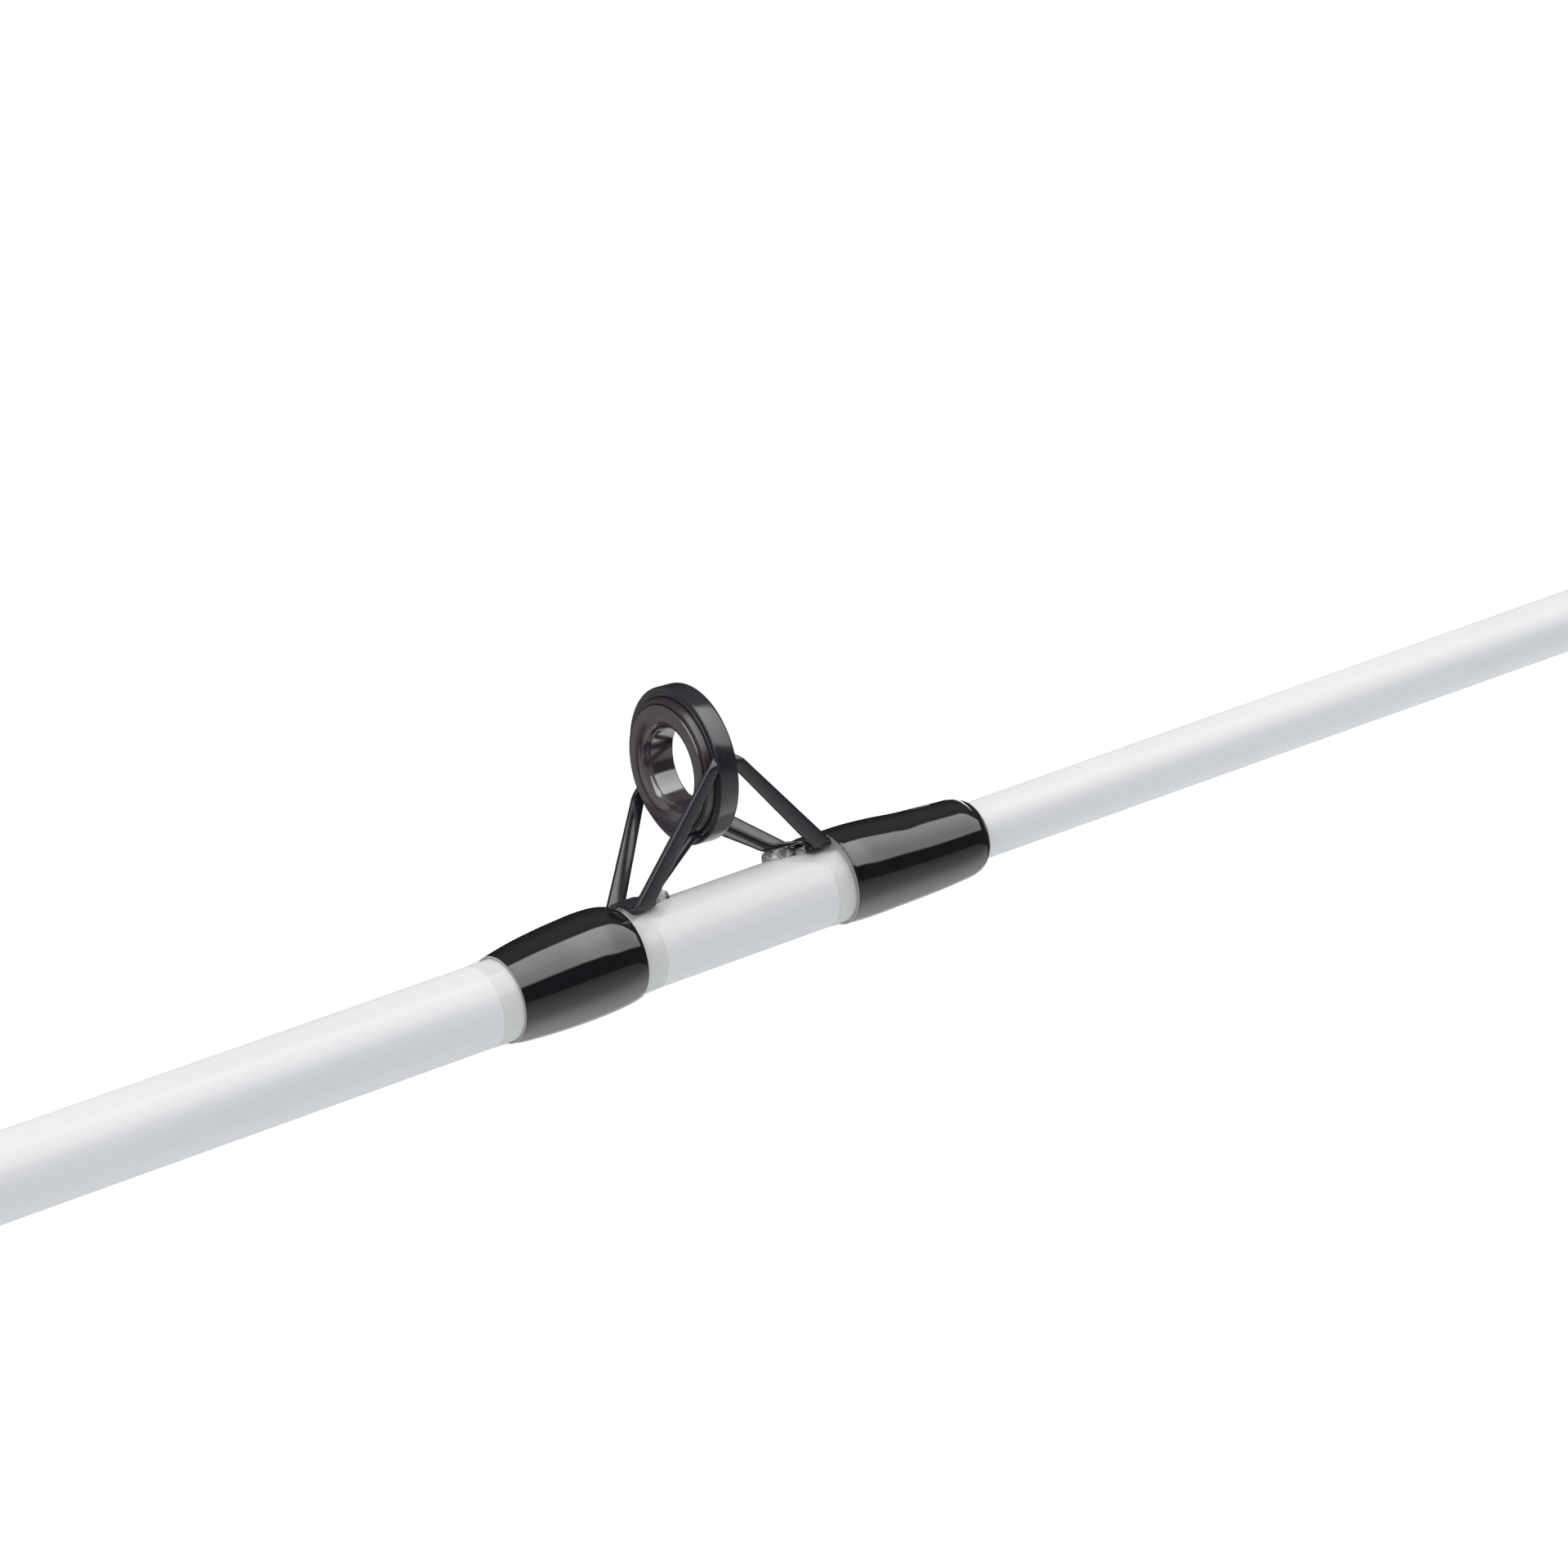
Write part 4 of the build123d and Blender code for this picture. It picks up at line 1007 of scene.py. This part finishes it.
def refinish():
    """Materials and eased edges for the CAD nodes that keep their own shape."""
    for node, finish, edge in (("gimbal_nock", METAL, 0.35), ("seat_arbors", ARBOR, 0.0),
                               ("fixed_hood", NYLON, 0.45), ("sliding_hood", NYLON, 0.45)):
        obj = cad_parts[node]
        obj.data.materials.clear()
        obj.data.materials.append(finish)
        if edge:
            weld = obj.modifiers.new("weld", "WELD")
            weld.merge_threshold = 0.00001
            bevel = obj.modifiers.new("eased_edges", "BEVEL")
            bevel.width = edge * MM
            bevel.segments = 3
            bevel.limit_method = "ANGLE"
            bevel.angle_limit = math.radians(35)
            bevel.harden_normals = False


# ------------------------------------------------------------------ studio
def softbox(n, x, angle):
    """One large softbox in front of the object; it hangs lower towards its right end."""
    sag = n.ramp(x, 0.42, 0.58, 0.0, math.radians(8))
    slope = n.ramp(x, 0.55, 0.95, 0.0, math.radians(24))
    lower_edge = n.ramp(n.math("ADD", angle, sag), math.radians(7), math.radians(13))
    upper_edge = n.ramp(n.math("ADD", angle, slope), math.radians(70), math.radians(76), 1.0, 0.0)
    left_edge = n.ramp(x, -0.74, -0.64)
    right_edge = n.ramp(x, 0.88, 0.94, 1.0, 0.0)
    glow = n.ramp(angle, math.radians(10), math.radians(60), 3.6, 4.9)
    # a brighter stretch right of its middle, and a slow fall towards its right end
    crest = n.product(n.ramp(x, 0.38, 0.46, 0.0, 0.22), n.ramp(x, 0.51, 0.57, 1.0, 0.0))
    fall = n.product(n.ramp(x, 0.3, 0.8, 1.0, 0.8), n.math("ADD", crest, 1.0))
    return n.product(lower_edge, upper_edge, right_edge, left_edge, n.product(glow, fall))


def mirrored_room(n, x, y, z):
    """What gloss sees: the softbox, a dim room, and pale surfaces below and beside."""
    room = n.product(n.ramp(z, 0.2, 0.9, 0.09, 0.32), n.ramp(y, 0.0, 0.75, 1.0, 0.2))
    table = n.product(n.ramp(z, -0.90, -0.42, 1.15, 0.30, smooth=False), n.ramp(y, -0.45, 0.12, 1.0, 1.75),
                      n.ramp(z, -0.47, -0.41, 1.0, 0.0), n.ramp(x, -0.4, 0.0, 0.5, 1.0))
    # a pale wall to the left, dimmer in front and gone at the back
    wall = n.product(n.ramp(x, -0.40, -0.20, 1.0, 0.0), n.ramp(z, -0.4, 0.0),
                     n.ramp(y, 0.35, 0.6, 1.0, 0.0), n.ramp(y, -0.6, 0.0, 0.6, 1.0), 0.85)
    # a dimmer one at the back, on the left
    far = n.product(n.ramp(x, -0.30, -0.05, 1.0, 0.0), n.ramp(y, 0.35, 0.6),
                    n.ramp(x, -0.70, -0.52, 0.15, 0.42))
    # on the right the table runs on behind the object, so undersides mirror it at a glance
    behind = n.product(n.ramp(z, -0.18, -0.10, 1.0, 0.0), n.ramp(y, 0.45, 0.6), n.ramp(x, 0.34, 0.44), 0.95)
    box = softbox(n, x, n.math("ARCTAN2", z, n.math("MULTIPLY", y, -1.0)))
    return n.highest(n.math("ADD", n.highest(box, room), table), wall, far, behind)


def studio():
    """White to the camera, an even light to matt surfaces and a studio to glossy ones."""
    world = bpy.data.worlds.new("studio")
    bpy.context.scene.world = world
    world.use_nodes = True
    world.cycles.sampling_method = "NONE"
    n = Nodes(world.node_tree)
    ray = n.add("ShaderNodeLightPath").outputs
    axes = n.add("ShaderNodeSeparateXYZ")
    n.put(axes.inputs[0], n.add("ShaderNodeTexCoord").outputs["Generated"])
    x, y, z = axes.outputs
    soft = n.ramp(z, 0.0, 1.0, 0.22, 1.54, smooth=False)  # brighter overhead than at the horizon
    glossy = ray["Is Glossy Ray"]
    lit = n.math("ADD", n.product(mirrored_room(n, x, y, z), glossy),
                 n.product(soft, n.math("SUBTRACT", 1.0, glossy)))
    clear = n.highest(ray["Is Camera Ray"], ray["Is Transmission Ray"])
    strength = n.math("ADD", n.product(lit, n.math("SUBTRACT", 1.0, clear)), clear)
    sky = n.add("ShaderNodeBackground", inputs={"Color": rgb(1, 1, 1), "Strength": strength})
    out = n.add("ShaderNodeOutputWorld")
    world.node_tree.links.new(sky.outputs[0], out.inputs["Surface"])


def floor():
    """White table at the part's lowest point; it takes the shadow and doesn't show in gloss."""
    level = cad_box[0].z
    half = 40.0  # metres
    mesh = bpy.data.meshes.new("floor")
    mesh.from_pydata([(-half, -half, level), (half, -half, level), (half, half, level),
                      (-half, half, level)], [], [(0, 1, 2, 3)])
    obj = bpy.data.objects.new("floor", mesh)
    bpy.context.scene.collection.objects.link(obj)
    mat = bpy.data.materials.new("white_table")
    mat.use_nodes = True
    n = Nodes(mat.node_tree)
    card = n.add("ShaderNodeBsdfDiffuse", inputs={"Color": rgb(0.68, 0.70, 0.725)})
    ray = n.add("ShaderNodeLightPath").outputs
    seen = n.highest(ray["Is Camera Ray"], ray["Is Transmission Ray"])
    lift = n.add("ShaderNodeEmission", inputs={
        "Color": rgb(1, 1, 1), "Strength": n.product(seen, 0.45)})
    both = n.add("ShaderNodeAddShader")
    out = n.add("ShaderNodeOutputMaterial")
    for a, b in ((card.outputs[0], both.inputs[0]), (lift.outputs[0], both.inputs[1]),
                 (both.outputs[0], out.inputs["Surface"])):
        mat.node_tree.links.new(a, b)
    mesh.materials.append(mat)
    obj.visible_glossy = False


def camera():
    """Looks level at the guide from the butt side, rolled so that the rod climbs to the right."""
    turn, roll = math.radians(31.5), math.radians(19.48)
    distance, view_width = 5.0, 0.18824  # metres
    aim_right, aim_up = 0.00549, 0.01578  # from the rod's axis under the ring to the frame's middle
    level = Vector((math.cos(turn), -math.sin(turn), 0))
    right = level * math.cos(roll) - Z_AXIS * math.sin(roll)
    up = level * math.sin(roll) + Z_AXIS * math.cos(roll)
    toward = right.cross(up)
    ring = X_AXIS * centre_of("guide_16_shock_ring").x * MM
    data = bpy.data.cameras.new("camera")
    data.sensor_width = 36.0
    data.lens = data.sensor_width * distance / view_width
    obj = bpy.data.objects.new("camera", data)
    place = ring + right * aim_right + up * aim_up + toward * distance
    obj.matrix_world = Matrix.Translation(place) @ Matrix((right, up, toward)).transposed().to_4x4()
    bpy.context.scene.collection.objects.link(obj)
    bpy.context.scene.camera = obj


bpy.context.scene.view_settings.view_transform = "Standard"
camera()
studio()
floor()
butt_blank()
tip_blank()
ferrule_guide(Guide("guide_16", "butt_section", butt_radius))
plain_guide(Guide("guide_20", "butt_section", butt_radius), "guide_20_wraps")
# one CAD node holds the wraps of all four tip guides, and the first guide's piece replaces it
plain_guide(Guide("guide_12", "tip_section", tip_radius), "tip_wraps")
for guide_name in ("guide_11", "guide_10", "guide_10_front"):
    plain_guide(Guide(guide_name, "tip_section", tip_radius))
tip_top()
foam_grip("rear_grip", [(0, 15.0), (0.4, 14.86), (0.8, 15.0), (0.84, 14.98), (0.93, 14.1), (1, 13.5)])
foam_grip("foregrip", [(0, 13.5), (0.1, 14.05), (0.3, 14.5), (0.6, 13.4), (0.85, 11.2), (1, 10.0)])
seat_trim_ring()
winding_check()
trim_wrap()
seat_barrel()
fluted_nut("hood_nut", 0.9)
fluted_nut("lock_nut", 0.8)
butt_cap()
refinish()
